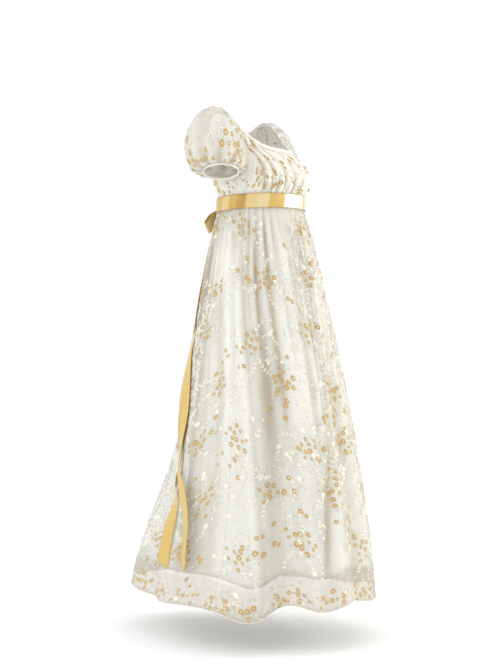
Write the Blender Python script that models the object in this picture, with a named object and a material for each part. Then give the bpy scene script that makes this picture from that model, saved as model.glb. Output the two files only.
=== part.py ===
"""Regency gown, worn: gathered bodice, puff sleeves, satin sash with a bow, sheer skirt over a lining.

Metres, +Z up. The front faces -Y and the wearer's left is +X. The origin lies midway between the
shoulders, at the height of the neckline's highest points, where the gown is held when it is worn.
Angles run round the body from the centre front (0) through the wearer's left (90) to the back (180).
"""

import math
from collections import namedtuple

import bmesh
import bpy
from mathutils import Vector

# Cloth and seams
WALL = 0.0017
RIBBON_WALL = 0.0011
SEAM_GAP = 0.0004

# Waist: the seam under the sash is lower at the back than at the front
WAIST_HEIGHT = -0.2465
WAIST_TILT = 0.0055
SASH_WIDTH = 0.038
SASH_STAND_OFF = 0.0026
SEAM_WAVE = 0.0014

# The skirt's hem, as a height under the shoulder; the lining ends at this share of the skirt's length
SKIRT_HEM = -1.302
LINING_SHARE = 0.925
LINING_FOLD_SHARE = 0.8

# Neck casing and armholes
CASING_HEIGHT = 0.009
CASING_WALL = 0.0018
CASING_FOOT = 0.0025
CASING_BEND = 0.3
CASING_WAVES = 40
CASING_WAVE_DEPTH = 0.0011
ARMHOLE_CENTRE = 93.0
ARMHOLE_SPREAD = 31.0
ARMHOLE_BOTTOM = -0.160

# Sleeves
CUFF_CENTRE = {"left": Vector((0.196, 0.026, -0.168)), "right": Vector((0.201, -0.002, -0.168))}
CUFF_RADIUS = 0.047
ARM_SWING = {"left": -0.10, "right": 0.16}
ARM_LIFT = 0.30
CUFF_HEIGHT = 0.006
CUFF_GAP = 0.0007
CUFF_WALL = 0.0020
SLEEVE_GATHERS = 12
SLEEVE_WAVE = 0.0034

# Gathers round the body
FRONT_GATHERS = 16
FRONT_WAVE = 0.0034
BACK_GATHERS = 6
SKIRT_GATHERS = 40
SKIRT_WAVE = 0.0042
GATHER_REACH = 0.16

# Sash bow and tails
TAIL_WIDTH = 0.036
TAIL_START = 0.0203
TAIL_END = 0.915
TAIL_STAND_OFF = 0.0034
LOOP_LENGTH = 0.074
LOOP_WIDTH = 0.036
LOOP_OPENING = 0.020

# The walking pose carries the skirt out behind, on the wearer's left
STRIDE_ANGLE = 166.0
STRIDE_SPREAD = 21.0
STRIDE_REACH = 0.150
STRIDE_START = 0.42

BodiceSection = namedtuple("BodiceSection", "rise half_width front back")
# rise is 0 at the waist seam and 1 at shoulder height; front and back are distances along Y
BODICE_SECTIONS = [
    BodiceSection(0.00, 0.1390, -0.1335, 0.0915),
    BodiceSection(0.09, 0.1390, -0.1335, 0.0915),
    BodiceSection(0.15, 0.1430, -0.1440, 0.0960),
    BodiceSection(0.25, 0.1460, -0.1510, 0.1040),
    BodiceSection(0.36, 0.1470, -0.1450, 0.1090),
    BodiceSection(0.47, 0.1480, -0.1255, 0.1120),
    BodiceSection(0.56, 0.1485, -0.0960, 0.1130),
    BodiceSection(0.75, 0.1500, -0.0680, 0.1120),
    BodiceSection(0.90, 0.1470, -0.0550, 0.1090),
    BodiceSection(1.00, 0.1410, -0.0450, 0.1060),
]

SkirtSection = namedtuple("SkirtSection", "drop half_width front back")
# drop is 0 at the waist seam and 1 at the hem
SKIRT_SECTIONS = [
    SkirtSection(0.00, 0.1390, -0.1335, 0.0915),
    SkirtSection(0.02, 0.1395, -0.1340, 0.0920),
    SkirtSection(0.08, 0.1540, -0.1530, 0.1080),
    SkirtSection(0.24, 0.1870, -0.1950, 0.1370),
    SkirtSection(0.49, 0.2190, -0.2560, 0.1700),
    SkirtSection(0.70, 0.2480, -0.2980, 0.2080),
    SkirtSection(0.90, 0.2770, -0.3310, 0.2520),
    SkirtSection(1.00, 0.2860, -0.3380, 0.2700),
]

LiningInset = namedtuple("LiningInset", "drop front back")
# The lining hangs inside the skirt, close to it in front and further in at the back
LINING_INSETS = [
    LiningInset(0.00, 0.0024, 0.0024),
    LiningInset(0.03, 0.0080, 0.0080),
    LiningInset(0.12, 0.0115, 0.0130),
    LiningInset(0.35, 0.0120, 0.0190),
    LiningInset(0.70, 0.0130, 0.0250),
    LiningInset(1.00, 0.0130, 0.0280),
]

HemPlace = namedtuple("HemPlace", "angle spread drop")
# Where the hem hangs lower (or, below zero, higher) than its common level
HEM_PLACES = [
    HemPlace(-73, 9, 0.027),
    HemPlace(-53, 7, -0.018),
    HemPlace(-37, 8, 0.008),
    HemPlace(-17, 8, -0.010),
    HemPlace(38, 14, -0.012),
    HemPlace(-150, 30, 0.006),
    HemPlace(166, 30, -0.010),
]

NeckStation = namedtuple("NeckStation", "angle height")
# Height of the neck seam, which runs on over the shoulder along the sleeve's top edge
NECK_STATIONS = [
    NeckStation(0, -0.1085),
    NeckStation(20, -0.1080),
    NeckStation(35, -0.1010),
    NeckStation(48, -0.0810),
    NeckStation(62, -0.0500),
    NeckStation(78, -0.0190),
    NeckStation(93, -0.0080),
    NeckStation(108, -0.0150),
    NeckStation(124, -0.0340),
    NeckStation(150, -0.0540),
    NeckStation(180, -0.0600),
]

Fold = namedtuple("Fold", "waist hem spread depth")
# Large folds of the skirt: angle at the waist and at the hem, half the width, and depth (a valley is negative)
SKIRT_FOLDS = [
    Fold(-142, -146, 8, -0.012),
    Fold(-122, -127, 10, 0.012),
    Fold(-103, -110, 9, -0.010),
    Fold(-84, -88, 10, 0.012),
    Fold(-71, -73, 6, 0.017),
    Fold(-61, -61, 5, -0.028),
    Fold(-42, -41, 12, 0.009),
    Fold(-26, -22, 5, 0.012),
    Fold(-17, -12, 6, -0.014),
    Fold(0, 3, 11, 0.008),
    Fold(20, 23, 8, -0.011),
    Fold(40, 42, 10, 0.010),
    Fold(59, 61, 8, -0.013),
    Fold(78, 80, 10, 0.012),
    Fold(98, 100, 8, -0.013),
    Fold(118, 120, 10, 0.012),
    Fold(138, 139, 8, -0.013),
    Fold(157, 158, 11, 0.012),
    Fold(178, 178, 8, -0.012),
    Fold(197, 196, 10, 0.010),
]

PuffStation = namedtuple("PuffStation", "turn rise reach")
# Fullness of the sleeve: how far its cloth springs from the armhole and how far it hangs past the cuff;
# turn 0 is the shoulder, 90 the front, -90 the back, 180 the underarm
PUFF_STATIONS = [
    PuffStation(-180, 0.020, 0.020),
    PuffStation(-135, 0.030, 0.040),
    PuffStation(-90, 0.056, 0.066),
    PuffStation(-45, 0.092, 0.070),
    PuffStation(0, 0.098, 0.058),
    PuffStation(45, 0.056, 0.046),
    PuffStation(90, 0.032, 0.032),
    PuffStation(135, 0.022, 0.022),
    PuffStation(180, 0.020, 0.020),
]

TailStation = namedtuple("TailStation", "drop angle stand_off tilt")
# Each sash tail drifts round the skirt towards the wearer's right; the second lies over the first.
# tilt is the twist in degrees that lifts the tail's rear edge (or, below zero, its front edge) off the skirt
TAIL_PATHS = {
    "sash_tail_left": [
        TailStation(0.00, 180, 0.001, 0),
        TailStation(0.25, 191, 0.000, 0),
        TailStation(0.40, 202, 0.000, 0),
        TailStation(0.52, 210, 0.000, 0),
        TailStation(0.62, 219, 0.000, 5),
        TailStation(0.71, 229, 0.000, 58),
        TailStation(0.80, 232, 0.000, 24),
        TailStation(1.00, 231, 0.000, 18),
    ],
    "sash_tail_right": [
        TailStation(0.00, 180, 0.006, 0),
        TailStation(0.25, 193, 0.005, 0),
        TailStation(0.40, 204, 0.005, 0),
        TailStation(0.52, 212, 0.005, 0),
        TailStation(0.62, 223, 0.008, -3),
        TailStation(0.71, 238, 0.005, -34),
        TailStation(0.80, 246, 0.002, -46),
        TailStation(1.00, 249, 0.001, -40),
    ],
}


def clear_scene():
    for obj in list(bpy.data.objects):
        bpy.data.objects.remove(obj)


def cloth_material(name, colour, roughness, sheen=0.3):
    material = bpy.data.materials.new(name)
    material.use_nodes = True
    shader = material.node_tree.nodes["Principled BSDF"]
    shader.inputs["Base Color"].default_value = (*colour, 1.0)
    shader.inputs["Roughness"].default_value = roughness
    shader.inputs["Metallic"].default_value = 0.0
    shader.inputs["Sheen Weight"].default_value = sheen
    return material


def smooth_step(share):
    share = min(1.0, max(0.0, share))
    return share * share * (3.0 - 2.0 * share)


def bump(distance, spread):
    return math.exp(-0.5 * (distance / spread) ** 2)


def angle_between(angle, other):
    """Signed difference in degrees, from -180 to 180."""
    return (angle - other + 180.0) % 360.0 - 180.0


def along(table, at, column):
    """A column of a table at a place between its rows, as a smooth curve through them."""
    at = min(max(at, table[0][0]), table[-1][0])
    row = 0
    while row < len(table) - 2 and at > table[row + 1][0]:
        row += 1
    before, here = table[max(row - 1, 0)], table[row]
    there, after = table[row + 1], table[min(row + 2, len(table) - 1)]
    step = there[0] - here[0]
    share = (at - here[0]) / step
    start, end = getattr(here, column), getattr(there, column)
    slope_in = (end - getattr(before, column)) / (there[0] - before[0]) * step
    slope_out = (getattr(after, column) - start) / (after[0] - here[0]) * step
    square, cube = share * share, share**3
    return (
        (2 * cube - 3 * square + 1) * start
        + (cube - 2 * square + share) * slope_in
        + (3 * square - 2 * cube) * end
        + (cube - square) * slope_out
    )


def oval_point(angle, half_width, front, back, height):
    """A point on an oval round the body and its outward direction, level with the ground."""
    turn = math.radians(angle)
    middle, half_depth = (front + back) / 2, (back - front) / 2
    place = Vector((half_width * math.sin(turn), middle - half_depth * math.cos(turn), height))
    outward = Vector((half_depth * math.sin(turn), -half_width * math.cos(turn), 0.0)).normalized()
    return place, outward


def waist_height(angle):
    return WAIST_HEIGHT + WAIST_TILT * math.cos(math.radians(angle))


def neck_height(angle):
    return along(NECK_STATIONS, abs(angle_between(angle, 0.0)), "height")


def armhole_height(angle):
    """The lower edge of the armhole: half an ellipse hung between the two corners on the neck seam."""
    share = (abs(angle_between(angle, 0.0)) - ARMHOLE_CENTRE) / ARMHOLE_SPREAD
    front_corner = neck_height(ARMHOLE_CENTRE - ARMHOLE_SPREAD)
    back_corner = neck_height(ARMHOLE_CENTRE + ARMHOLE_SPREAD)
    corner_line = front_corner + (back_corner - front_corner) * (share + 1) / 2
    depth = (front_corner + back_corner) / 2 - ARMHOLE_BOTTOM
    return corner_line - depth * math.sqrt(max(0.0, 1.0 - share * share))


def bodice_surface(angle, height):
    rise = 1.0 - height / waist_height(angle)
    sizes = [along(BODICE_SECTIONS, rise, column) for column in ("half_width", "front", "back")]
    return oval_point(angle, *sizes, height)


def bodice_top(angle):
    off_side = abs(abs(angle_between(angle, 0.0)) - ARMHOLE_CENTRE)
    return armhole_height(angle) if off_side < ARMHOLE_SPREAD else neck_height(angle)


def bodice_gather(angle, share):
    """Gathers between the neck casing and the sash: deepest just above the sash, faded on the bust."""
    off_front = abs(angle_between(angle, 0.0))
    front_edge = ARMHOLE_CENTRE - ARMHOLE_SPREAD
    back_edge = 180 - ARMHOLE_CENTRE - ARMHOLE_SPREAD
    if off_front < front_edge:
        gathers, half_arc, depth, middle = FRONT_GATHERS, front_edge, FRONT_WAVE, 0.0
    elif off_front > 180 - back_edge:
        gathers, half_arc, depth, middle = BACK_GATHERS, back_edge, SEAM_WAVE, 180.0
    else:
        return 0.0
    above_seam = share * (bodice_top(angle) - waist_height(angle))
    over_sash = bump(share - 0.26, 0.19) * smooth_step((above_seam - SASH_WIDTH / 2) / 0.012)
    under_casing = 0.5 * bump(share - 1.0, 0.20)
    at_seam = SEAM_WAVE * bump(share, 0.12)
    uneven = 0.68 + 0.32 * math.sin(math.radians(6.1 * angle + 40))
    place = angle_between(angle, middle) / (2 * half_arc) + 0.5
    drift = 1.1 * math.sin(math.radians(5.3 * angle + 70)) + 0.7 * math.sin(math.radians(11 * angle))
    wave = math.sin(2 * math.pi * gathers * place + drift)
    return (max(depth * uneven * (over_sash + under_casing), at_seam) + 0.0003) * wave


def bodice_point(angle, share):
    """A point of the bodice, from the waist seam (share 0) to its top edge (share 1)."""
    bottom, top = waist_height(angle) + SEAM_GAP, bodice_top(angle)
    place, outward = bodice_surface(angle, bottom + (top - bottom) * share)
    return place + outward * bodice_gather(angle, share)


def hem_dip(angle):
    return sum(place.drop * bump(angle_between(angle, place.angle), place.spread) for place in HEM_PLACES)


def skirt_oval(angle, drop):
    """A point of the plain skirt, without folds, and its outward direction."""
    bottom = SKIRT_HEM - hem_dip(angle)
    top = waist_height(angle) - SEAM_GAP
    sizes = [along(SKIRT_SECTIONS, drop, column) for column in ("half_width", "front", "back")]
    return oval_point(angle, *sizes, top + (bottom - top) * drop)


def fold_depth(angle, drop):
    growth = smooth_step((drop - 0.03) / 0.55)
    total = 0.0
    for fold in SKIRT_FOLDS:
        centre = fold.waist + (fold.hem - fold.waist) * drop
        total += fold.depth * bump(angle_between(angle, centre), fold.spread)
    return total * growth


def stride(angle, drop):
    share = smooth_step((drop - STRIDE_START) / (1.0 - STRIDE_START))
    return STRIDE_REACH * share * bump(angle_between(angle, STRIDE_ANGLE), STRIDE_SPREAD)


def skirt_gather(angle, drop):
    """Fine gathers under the sash, which open out into the large folds."""
    below_sash = smooth_step((drop - 0.02) / 0.05)
    fading = 1.0 - smooth_step((drop - 0.05) / GATHER_REACH)
    uneven = 0.72 + 0.28 * math.sin(math.radians(5.0 * angle + 20))
    depth = (SEAM_WAVE + (SKIRT_WAVE - SEAM_WAVE) * below_sash) * fading
    return depth * uneven * math.sin(math.radians(SKIRT_GATHERS * angle))


def skirt_point(angle, drop):
    place, outward = skirt_oval(angle, drop)
    swell = fold_depth(angle, drop) + stride(angle, drop)
    return place + outward * (swell + skirt_gather(angle, drop))


def lining_point(angle, drop):
    """The lining is made from the skirt's points, moved in; its folds are shallower."""
    on_skirt = drop * LINING_SHARE
    place, outward = skirt_oval(angle, on_skirt)
    forward = 0.5 + 0.5 * math.cos(math.radians(angle))
    front, back = (along(LINING_INSETS, drop, column) for column in ("front", "back"))
    inset = front * forward + back * (1.0 - forward)
    swell = LINING_FOLD_SHARE * fold_depth(angle, on_skirt) + stride(angle, on_skirt)
    return place + outward * (swell - inset)


def shell(name, rows, material, wall, closed=False, outward=False):
    """A cloth wall from rows of points, top to bottom. A row may have half the steps of the one above."""
    mesh = bpy.data.meshes.new(name)
    edit = bmesh.new()
    levels = [[edit.verts.new(point) for point in row] for row in rows]
    for upper, lower in zip(levels, levels[1:]):
        steps = len(lower) if closed else len(lower) - 1
        ratio = 1 if len(upper) == len(lower) else 2
        for step in range(steps):
            after = (step + 1) % len(lower)
            top = [upper[(step * ratio + k) % len(upper)] for k in range(ratio, -1, -1)]
            edit.faces.new([top[-1], lower[step], lower[after], *top[:-1]])
    edit.to_mesh(mesh)
    edit.free()
    mesh.shade_smooth()
    mesh.materials.append(material)
    obj = bpy.data.objects.new(name, mesh)
    bpy.context.scene.collection.objects.link(obj)
    thick = obj.modifiers.new("cloth wall", "SOLIDIFY")
    thick.thickness = wall
    thick.offset = 1.0 if outward else -1.0
    return obj


def evenly(start, end, steps):
    return [start + (end - start) * step / steps for step in range(steps + 1)]


def seam_inset(angles, radius=0.2):
    """The same angles with both ends drawn in by a seam gap."""
    inset = math.degrees(SEAM_GAP * 0.75 / radius)
    return [angles[0] + inset, *angles[1:-1], angles[-1] - inset]


def armhole_angles(start, end, steps):
    """Angles crowded towards the armhole's corners, where its edge is steep."""
    turns = evenly(start, end, steps)
    return [ARMHOLE_CENTRE - ARMHOLE_SPREAD * math.sin(math.radians(turn)) for turn in turns]


def build_bodice(cloth):
    corner = ARMHOLE_CENTRE - ARMHOLE_SPREAD
    back_corner = ARMHOLE_CENTRE + ARMHOLE_SPREAD
    left = armhole_angles(90, 0, 5)[1:]
    front = [-angle for angle in reversed(left)] + evenly(-corner, corner, 4 * FRONT_GATHERS) + left
    heights = [1.0, 0.84, 0.66, 0.48, 0.33, 0.20, 0.10, 0.0]
    rows = [[bodice_point(angle, share) for angle in seam_inset(front, 0.14)] for share in heights]
    shell("bodice_front", rows, cloth, WALL)
    side = armhole_angles(0, -90, 5)[:-1]
    middle = evenly(back_corner, 360 - back_corner, 4 * BACK_GATHERS)
    back = side + middle + [360 - angle for angle in reversed(side)]
    rows = [[bodice_point(angle, share) for angle in seam_inset(back, 0.14)] for share in heights]
    shell("bodice_back", rows, cloth, WALL)


def casing_point(angle, share):
    """The gathered neck casing stands on the neck seam and leans in, most over the shoulder."""
    place, outward = bodice_surface(angle, neck_height(angle))
    at_shoulder = bump(abs(angle_between(angle, 0.0)) - ARMHOLE_CENTRE, 24.0)
    lean = math.radians(24 + 30 * at_shoulder)
    foot = Vector((0, 0, 2 * SEAM_GAP + CASING_FOOT * min(1.0, share / CASING_BEND)))
    above = max(0.0, share - CASING_BEND) / (1.0 - CASING_BEND)
    tilt = Vector((0, 0, math.cos(lean))) - outward * math.sin(lean)
    wave = CASING_WAVE_DEPTH * math.sin(math.radians(CASING_WAVES * angle)) * (0.3 + 0.7 * share)
    return place + foot + tilt * (CASING_HEIGHT - CASING_FOOT) * above + outward * wave


def build_casing(cloth):
    angles = evenly(0, 360, 3 * CASING_WAVES)[:-1]
    rows = [[casing_point(angle, share) for angle in angles] for share in (1.0, CASING_BEND, 0.0)]
    shell("neck_casing", rows, cloth, CASING_WALL, closed=True)


def armhole_point(turn):
    """The armhole's edge and the way out of it; turn is 0 at the shoulder and 90 at the front."""
    angle = ARMHOLE_CENTRE - ARMHOLE_SPREAD * math.sin(math.radians(turn))
    above = math.cos(math.radians(turn)) > 0
    place, outward = bodice_surface(angle, neck_height(angle) if above else armhole_height(angle))
    return place + outward * 2 * SEAM_GAP, outward


def cuff_point(side, turn, drop=0.0):
    """The cuff's ring round the arm, square to it, and its outward direction."""
    angle = math.radians(turn)
    radial = Vector((math.cos(angle), -math.sin(angle), 0.0))
    arm_up = Vector((-ARM_LIFT, ARM_SWING[side], 1.0)).normalized()
    outward = (radial - arm_up * radial.dot(arm_up)).normalized()
    return CUFF_CENTRE[side] + outward * CUFF_RADIUS - arm_up * drop, outward


def sleeve_point(side, turn, share):
    """The puff: a cubic curve from the armhole to the cuff for each turn round the arm."""
    start, leaving = armhole_point(turn)
    end, arriving = cuff_point(side, turn)
    angle = math.radians(turn)
    round_armhole = Vector((0.0, -math.sin(angle), math.cos(angle)))
    place_in_table = angle_between(turn, 0.0)
    rise = along(PUFF_STATIONS, place_in_table, "rise")
    reach = along(PUFF_STATIONS, place_in_table, "reach")
    first = start + (leaving * 0.74 + round_armhole * 0.60).normalized() * rise
    second = end + (arriving * 0.96 + Vector((0, 0, -0.30))).normalized() * reach
    rest = 1.0 - share
    place = (
        start * rest**3
        + first * 3 * rest * rest * share
        + second * 3 * rest * share * share
        + end * share**3
    )
    gathers = SLEEVE_WAVE * math.sin(SLEEVE_GATHERS * angle) * (0.35 + abs(share - 0.45) * 1.3)
    held = min(1.0, 8.0 * share, 10.0 * rest + 0.35)
    return place + (leaving * rest + arriving * share).normalized() * gathers * held


def mirrored(points):
    """The same ring on the wearer's right, turned back so that its faces still point outward."""
    return [Vector((-point.x, point.y, point.z)) for point in reversed(points)]


def build_sleeves(cloth, band):
    turns = evenly(0, -360, 4 * SLEEVE_GATHERS)[:-1]
    shares = [0.0, 0.10, 0.26, 0.44, 0.62, 0.78, 0.90, 1.0]
    cuff_turns = evenly(0, -360, 26)[:-1]
    drops = (CUFF_GAP, CUFF_GAP + CUFF_HEIGHT)
    for side in ("left", "right"):
        rows = [[sleeve_point(side, turn, share) for turn in turns] for share in shares]
        ring = [[cuff_point(side, turn, drop)[0] for turn in cuff_turns] for drop in drops]
        if side == "right":
            rows, ring = [mirrored(row) for row in rows], [mirrored(row) for row in ring]
        shell(f"sleeve_{side}", rows, cloth, WALL, closed=True)
        shell(f"cuff_{side}", ring, band, CUFF_WALL, closed=True)


def build_skirt(cloth, lining_cloth):
    upper = [0.0, 0.024, 0.06, 0.115]
    lower = [0.18, 0.28, 0.39, 0.50, 0.62, 0.74, 0.87, 1.0]
    for name, start in (("skirt_front", -90), ("skirt_back", 90)):
        fine, coarse = evenly(start, start + 180, 80), evenly(start, start + 180, 40)
        rows = [[skirt_point(angle, drop) for angle in seam_inset(fine)] for drop in upper]
        rows += [[skirt_point(angle, drop) for angle in seam_inset(coarse)] for drop in lower]
        shell(name, rows, cloth, WALL)
    drops = [0.004, 0.04, 0.11, 0.34, 0.66, 1.0]
    for name, start in (("lining_front", -90), ("lining_back", 90)):
        angles = seam_inset(evenly(start, start + 180, 40))
        rows = [[lining_point(angle, drop) for angle in angles] for drop in drops]
        shell(name, rows, lining_cloth, WALL)


def sash_point(angle, share):
    """The sash lies on the gathers' crests, square to the waist seam."""
    section = BODICE_SECTIONS[0]
    place, outward = oval_point(
        angle, section.half_width, section.front, section.back, waist_height(angle)
    )
    lift = Vector((0.0, 0.0, SASH_WIDTH * (share - 0.5)))
    return place + lift + outward * SASH_STAND_OFF


def build_sash(satin):
    angles = evenly(0, 360, 60)[:-1]
    rows = [[sash_point(angle, share) for angle in angles] for share in (1.0, 0.0)]
    shell("sash_band", rows, satin, RIBBON_WALL, closed=True, outward=True)


def knot_centre():
    place, outward = oval_point(180, 0.139, -0.1335, 0.0915, waist_height(180) - 0.004)
    return place + outward * (SASH_STAND_OFF + RIBBON_WALL + SEAM_GAP)


def build_knot(satin):
    """The knot that the loops and tails come out of: a rounded block over the sash."""
    width, depth, height = 0.024, 0.015, 0.034
    mesh = bpy.data.meshes.new("bow_knot")
    edit = bmesh.new()
    bmesh.ops.create_cube(edit, size=1.0)
    bmesh.ops.scale(edit, vec=(width, depth, height), verts=edit.verts)
    bmesh.ops.bevel(edit, geom=edit.edges[:], offset=0.0055, segments=3, affect="EDGES", profile=0.6)
    edit.to_mesh(mesh)
    edit.free()
    mesh.shade_smooth()
    mesh.materials.append(satin)
    obj = bpy.data.objects.new("bow_knot", mesh)
    obj.location = knot_centre() + Vector((0.0, depth / 2, 0.0))
    bpy.context.scene.collection.objects.link(obj)


def loop_point(side, turn, across):
    """A drooping bow loop: turn runs from the knot out along the body, round the tip and back."""
    reach = Vector((side * 0.70, 0.12, -0.70)).normalized()
    stem = knot_centre() + Vector((side * 0.0124, -0.0025, -0.002))
    out = 0.5 - 0.5 * math.cos(turn)
    spread = smooth_step(out * 2.5)
    width_way = Vector((side * 0.70 * spread, 0.0, 1.0 - 0.30 * spread))
    swell = math.sin(turn) * out**0.35
    width = LOOP_WIDTH * (0.42 + 0.58 * smooth_step(out * 1.8))
    opening = LOOP_OPENING * (0.5 - 0.5 * swell) + 0.0038 * math.cos(turn / 2)
    return stem + reach * LOOP_LENGTH * out + Vector((0.0, opening, 0.0)) + width_way * width * across


def build_bow(satin):
    for side, name in ((1, "bow_loop_left"), (-1, "bow_loop_right")):
        turns = evenly(0.02 * math.pi, 1.98 * math.pi, 16)
        places = (-0.5, -0.17, 0.17, 0.5)
        rows = [[loop_point(side, turn, side * across) for across in places] for turn in turns]
        shell(name, rows, satin, RIBBON_WALL)


def tail_point(name, drop, across):
    """A sash tail lies on the skirt: it is made from the skirt's points, moved out."""
    path = TAIL_PATHS[name]
    angle = along(path, drop, "angle")
    tilt = math.radians(along(path, drop, "tilt"))
    per_degree = (skirt_oval(angle + 1, drop)[0] - skirt_oval(angle - 1, drop)[0]).length / 2
    flare = 0.55 + 0.45 * smooth_step((drop - 0.03) / 0.10)
    width = TAIL_WIDTH * flare
    angle += width * across * math.cos(tilt) / per_degree
    place, outward = skirt_oval(angle, drop)
    wave = SKIRT_WAVE * (1.0 - smooth_step((drop - 0.05) / GATHER_REACH))
    lift = TAIL_STAND_OFF + along(path, drop, "stand_off")
    lift += width * (0.5 * abs(math.sin(tilt)) - across * math.sin(tilt))
    return place + outward * (fold_depth(angle, drop) + stride(angle, drop) + wave + lift)


def build_tails(satin):
    drops = [TAIL_START, 0.045, *evenly(0.08, TAIL_END, 23)]
    for name in TAIL_PATHS:
        places = (-0.5, -0.17, 0.17, 0.5)
        rows = [[tail_point(name, drop, across) for across in places] for drop in drops]
        shell(name, rows, satin, RIBBON_WALL, outward=True)


def main():
    clear_scene()
    organza = cloth_material("embroidered organza", (0.86, 0.84, 0.76), 0.55)
    lining = cloth_material("satin lining", (0.84, 0.84, 0.79), 0.45)
    white_band = cloth_material("white cotton band", (0.90, 0.89, 0.85), 0.70)
    gold_satin = cloth_material("gold satin ribbon", (0.78, 0.52, 0.15), 0.28)
    build_bodice(organza)
    build_casing(white_band)
    build_sleeves(organza, white_band)
    build_sash(gold_satin)
    build_knot(gold_satin)
    build_bow(gold_satin)
    build_tails(gold_satin)
    build_skirt(organza, lining)


main()
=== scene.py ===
# %% [markdown]
# # Regency gown
# The gown is gathered under a raised waist: a sheer embroidered organza over a satin lining, with
# short puff sleeves and a gold satin sash. Its solids give the worn form. This lesson hangs finer
# cloth on that form, adds the creases, the sewing and the embroidery, and sets soft light round it.
# %% Load the fixed frame
import math
from collections import namedtuple

import bmesh
import bpy
import numpy as np
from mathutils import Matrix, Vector


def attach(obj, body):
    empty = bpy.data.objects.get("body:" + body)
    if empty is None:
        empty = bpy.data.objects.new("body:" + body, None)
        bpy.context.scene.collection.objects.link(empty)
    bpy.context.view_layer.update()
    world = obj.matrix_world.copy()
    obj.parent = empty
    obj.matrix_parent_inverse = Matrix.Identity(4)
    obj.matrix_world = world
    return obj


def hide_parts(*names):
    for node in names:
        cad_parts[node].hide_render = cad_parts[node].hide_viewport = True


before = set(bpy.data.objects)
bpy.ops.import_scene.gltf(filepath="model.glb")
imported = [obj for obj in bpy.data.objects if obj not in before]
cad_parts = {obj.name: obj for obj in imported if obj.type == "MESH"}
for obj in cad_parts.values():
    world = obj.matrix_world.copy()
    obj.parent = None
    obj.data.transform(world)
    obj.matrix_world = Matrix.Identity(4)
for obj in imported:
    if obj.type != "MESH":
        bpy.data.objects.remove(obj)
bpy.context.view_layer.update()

# %% [markdown]
# ## Helpers for colour and nodes
# A colour is easiest to choose as a hex value from a paint chart, which is sRGB, but a shader
# works in linear light, so one function turns the one into the other. One more adds a node with its
# settings and its links, so that each material below reads as a list of nodes.
# %% Colour and node helpers


def linear(hex_colour):
    """An sRGB hex colour as linear red, green, blue and alpha."""
    channels = [int(hex_colour[place : place + 2], 16) / 255 for place in (1, 3, 5)]
    light = [c / 12.92 if c <= 0.04045 else ((c + 0.055) / 1.055) ** 2.4 for c in channels]
    return (*light, 1.0)


def add_node(tree, kind, inputs=None, **settings):
    """Adds a node with its settings. An input is a value, or the output or the node to link there."""
    node = tree.nodes.new(kind)
    for name, value in settings.items():
        setattr(node, name, value)
    for socket, value in (inputs or {}).items():
        if isinstance(value, bpy.types.Node):
            value = value.outputs[0]
        if isinstance(value, bpy.types.NodeSocket):
            tree.links.new(value, node.inputs[socket])
        else:
            node.inputs[socket].default_value = value
    return node


print("ivory in linear light:", [round(c, 3) for c in linear("#ECECE4")])

# %% [markdown]
# ## Camera, floor and light
# The camera looks level at the gown from the wearer's right and a little in front. The floor is
# plain and pale, and large soft lights leave only faint shade in the folds, as in a photo studio.
# A wide panel at the front gives the satin sash its bright band.
# %% Camera
CAMERA_TURN = -64.0
CAMERA_DISTANCE = 4.13
CAMERA_HEIGHT = -0.596
FOCAL_PIXELS = 1509.0
PICTURE_HEIGHT = 667.0
FRAME_SHIFT = -4.0
SENSOR = 36.0

camera_data = bpy.data.cameras.new("camera")
camera = bpy.data.objects.new("camera", camera_data)
bpy.context.scene.collection.objects.link(camera)
turn = math.radians(CAMERA_TURN)
camera.location = (math.sin(turn) * CAMERA_DISTANCE, -math.cos(turn) * CAMERA_DISTANCE, CAMERA_HEIGHT)
camera.rotation_euler = (math.radians(90), 0.0, turn)
camera_data.sensor_width = SENSOR
camera_data.lens = FOCAL_PIXELS * SENSOR / PICTURE_HEIGHT
camera_data.shift_x = FRAME_SHIFT / PICTURE_HEIGHT
bpy.context.scene.camera = camera
print("lens", round(camera_data.lens, 1), "mm")

# %% Floor, sky and soft lights
FLOOR_HEIGHT = -1.415
FLOOR_REACH = 40.0


def area_light(name, azimuth, elevation, distance, size, power, colour):
    """A square soft light that faces the middle of the gown."""
    middle = Vector((0.0, 0.0, -0.65))
    across, up = math.radians(azimuth), math.radians(elevation)
    away = Vector((math.sin(across) * math.cos(up), -math.cos(across) * math.cos(up), math.sin(up)))
    light = bpy.data.lights.new(name, "AREA")
    light.size = size
    light.energy = power
    light.color = linear(colour)[:3]
    lamp = bpy.data.objects.new(name, light)
    lamp.location = middle + away * distance
    lamp.rotation_euler = away.to_track_quat("Z", "Y").to_euler()
    bpy.context.scene.collection.objects.link(lamp)


area_light("front softbox", 32, 16, 3.6, 1.1, 42, "#FFFCF4")
area_light("side softbox", -128, 30, 3.8, 1.6, 30, "#F4F8FF")
area_light("top softbox", -40, 78, 3.4, 1.6, 8, "#FFFFFF")

world = bpy.data.worlds.new("studio")
world.use_nodes = True
sky = world.node_tree.nodes["Background"]
sky.inputs["Color"].default_value = linear("#FFFFFF")
sky.inputs["Strength"].default_value = 1.0
bpy.context.scene.world = world
bpy.context.scene.view_settings.view_transform = "Standard"

floor_mesh = bpy.data.meshes.new("floor")
corners = [(x * FLOOR_REACH, y * FLOOR_REACH, FLOOR_HEIGHT) for x, y in ((-1, -1), (1, -1), (1, 1), (-1, 1))]
floor_mesh.from_pydata(corners, [], [(0, 1, 2, 3)])
floor = bpy.data.objects.new("floor", floor_mesh)
bpy.context.scene.collection.objects.link(floor)
floor_paint = bpy.data.materials.new("matt white studio floor")
floor_paint.use_nodes = True
floor_shader = floor_paint.node_tree.nodes["Principled BSDF"]
floor_shader.inputs["Base Color"].default_value = linear("#FFFFFF")
floor_shader.inputs["Roughness"].default_value = 0.9
floor_mesh.materials.append(floor_paint)

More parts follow.
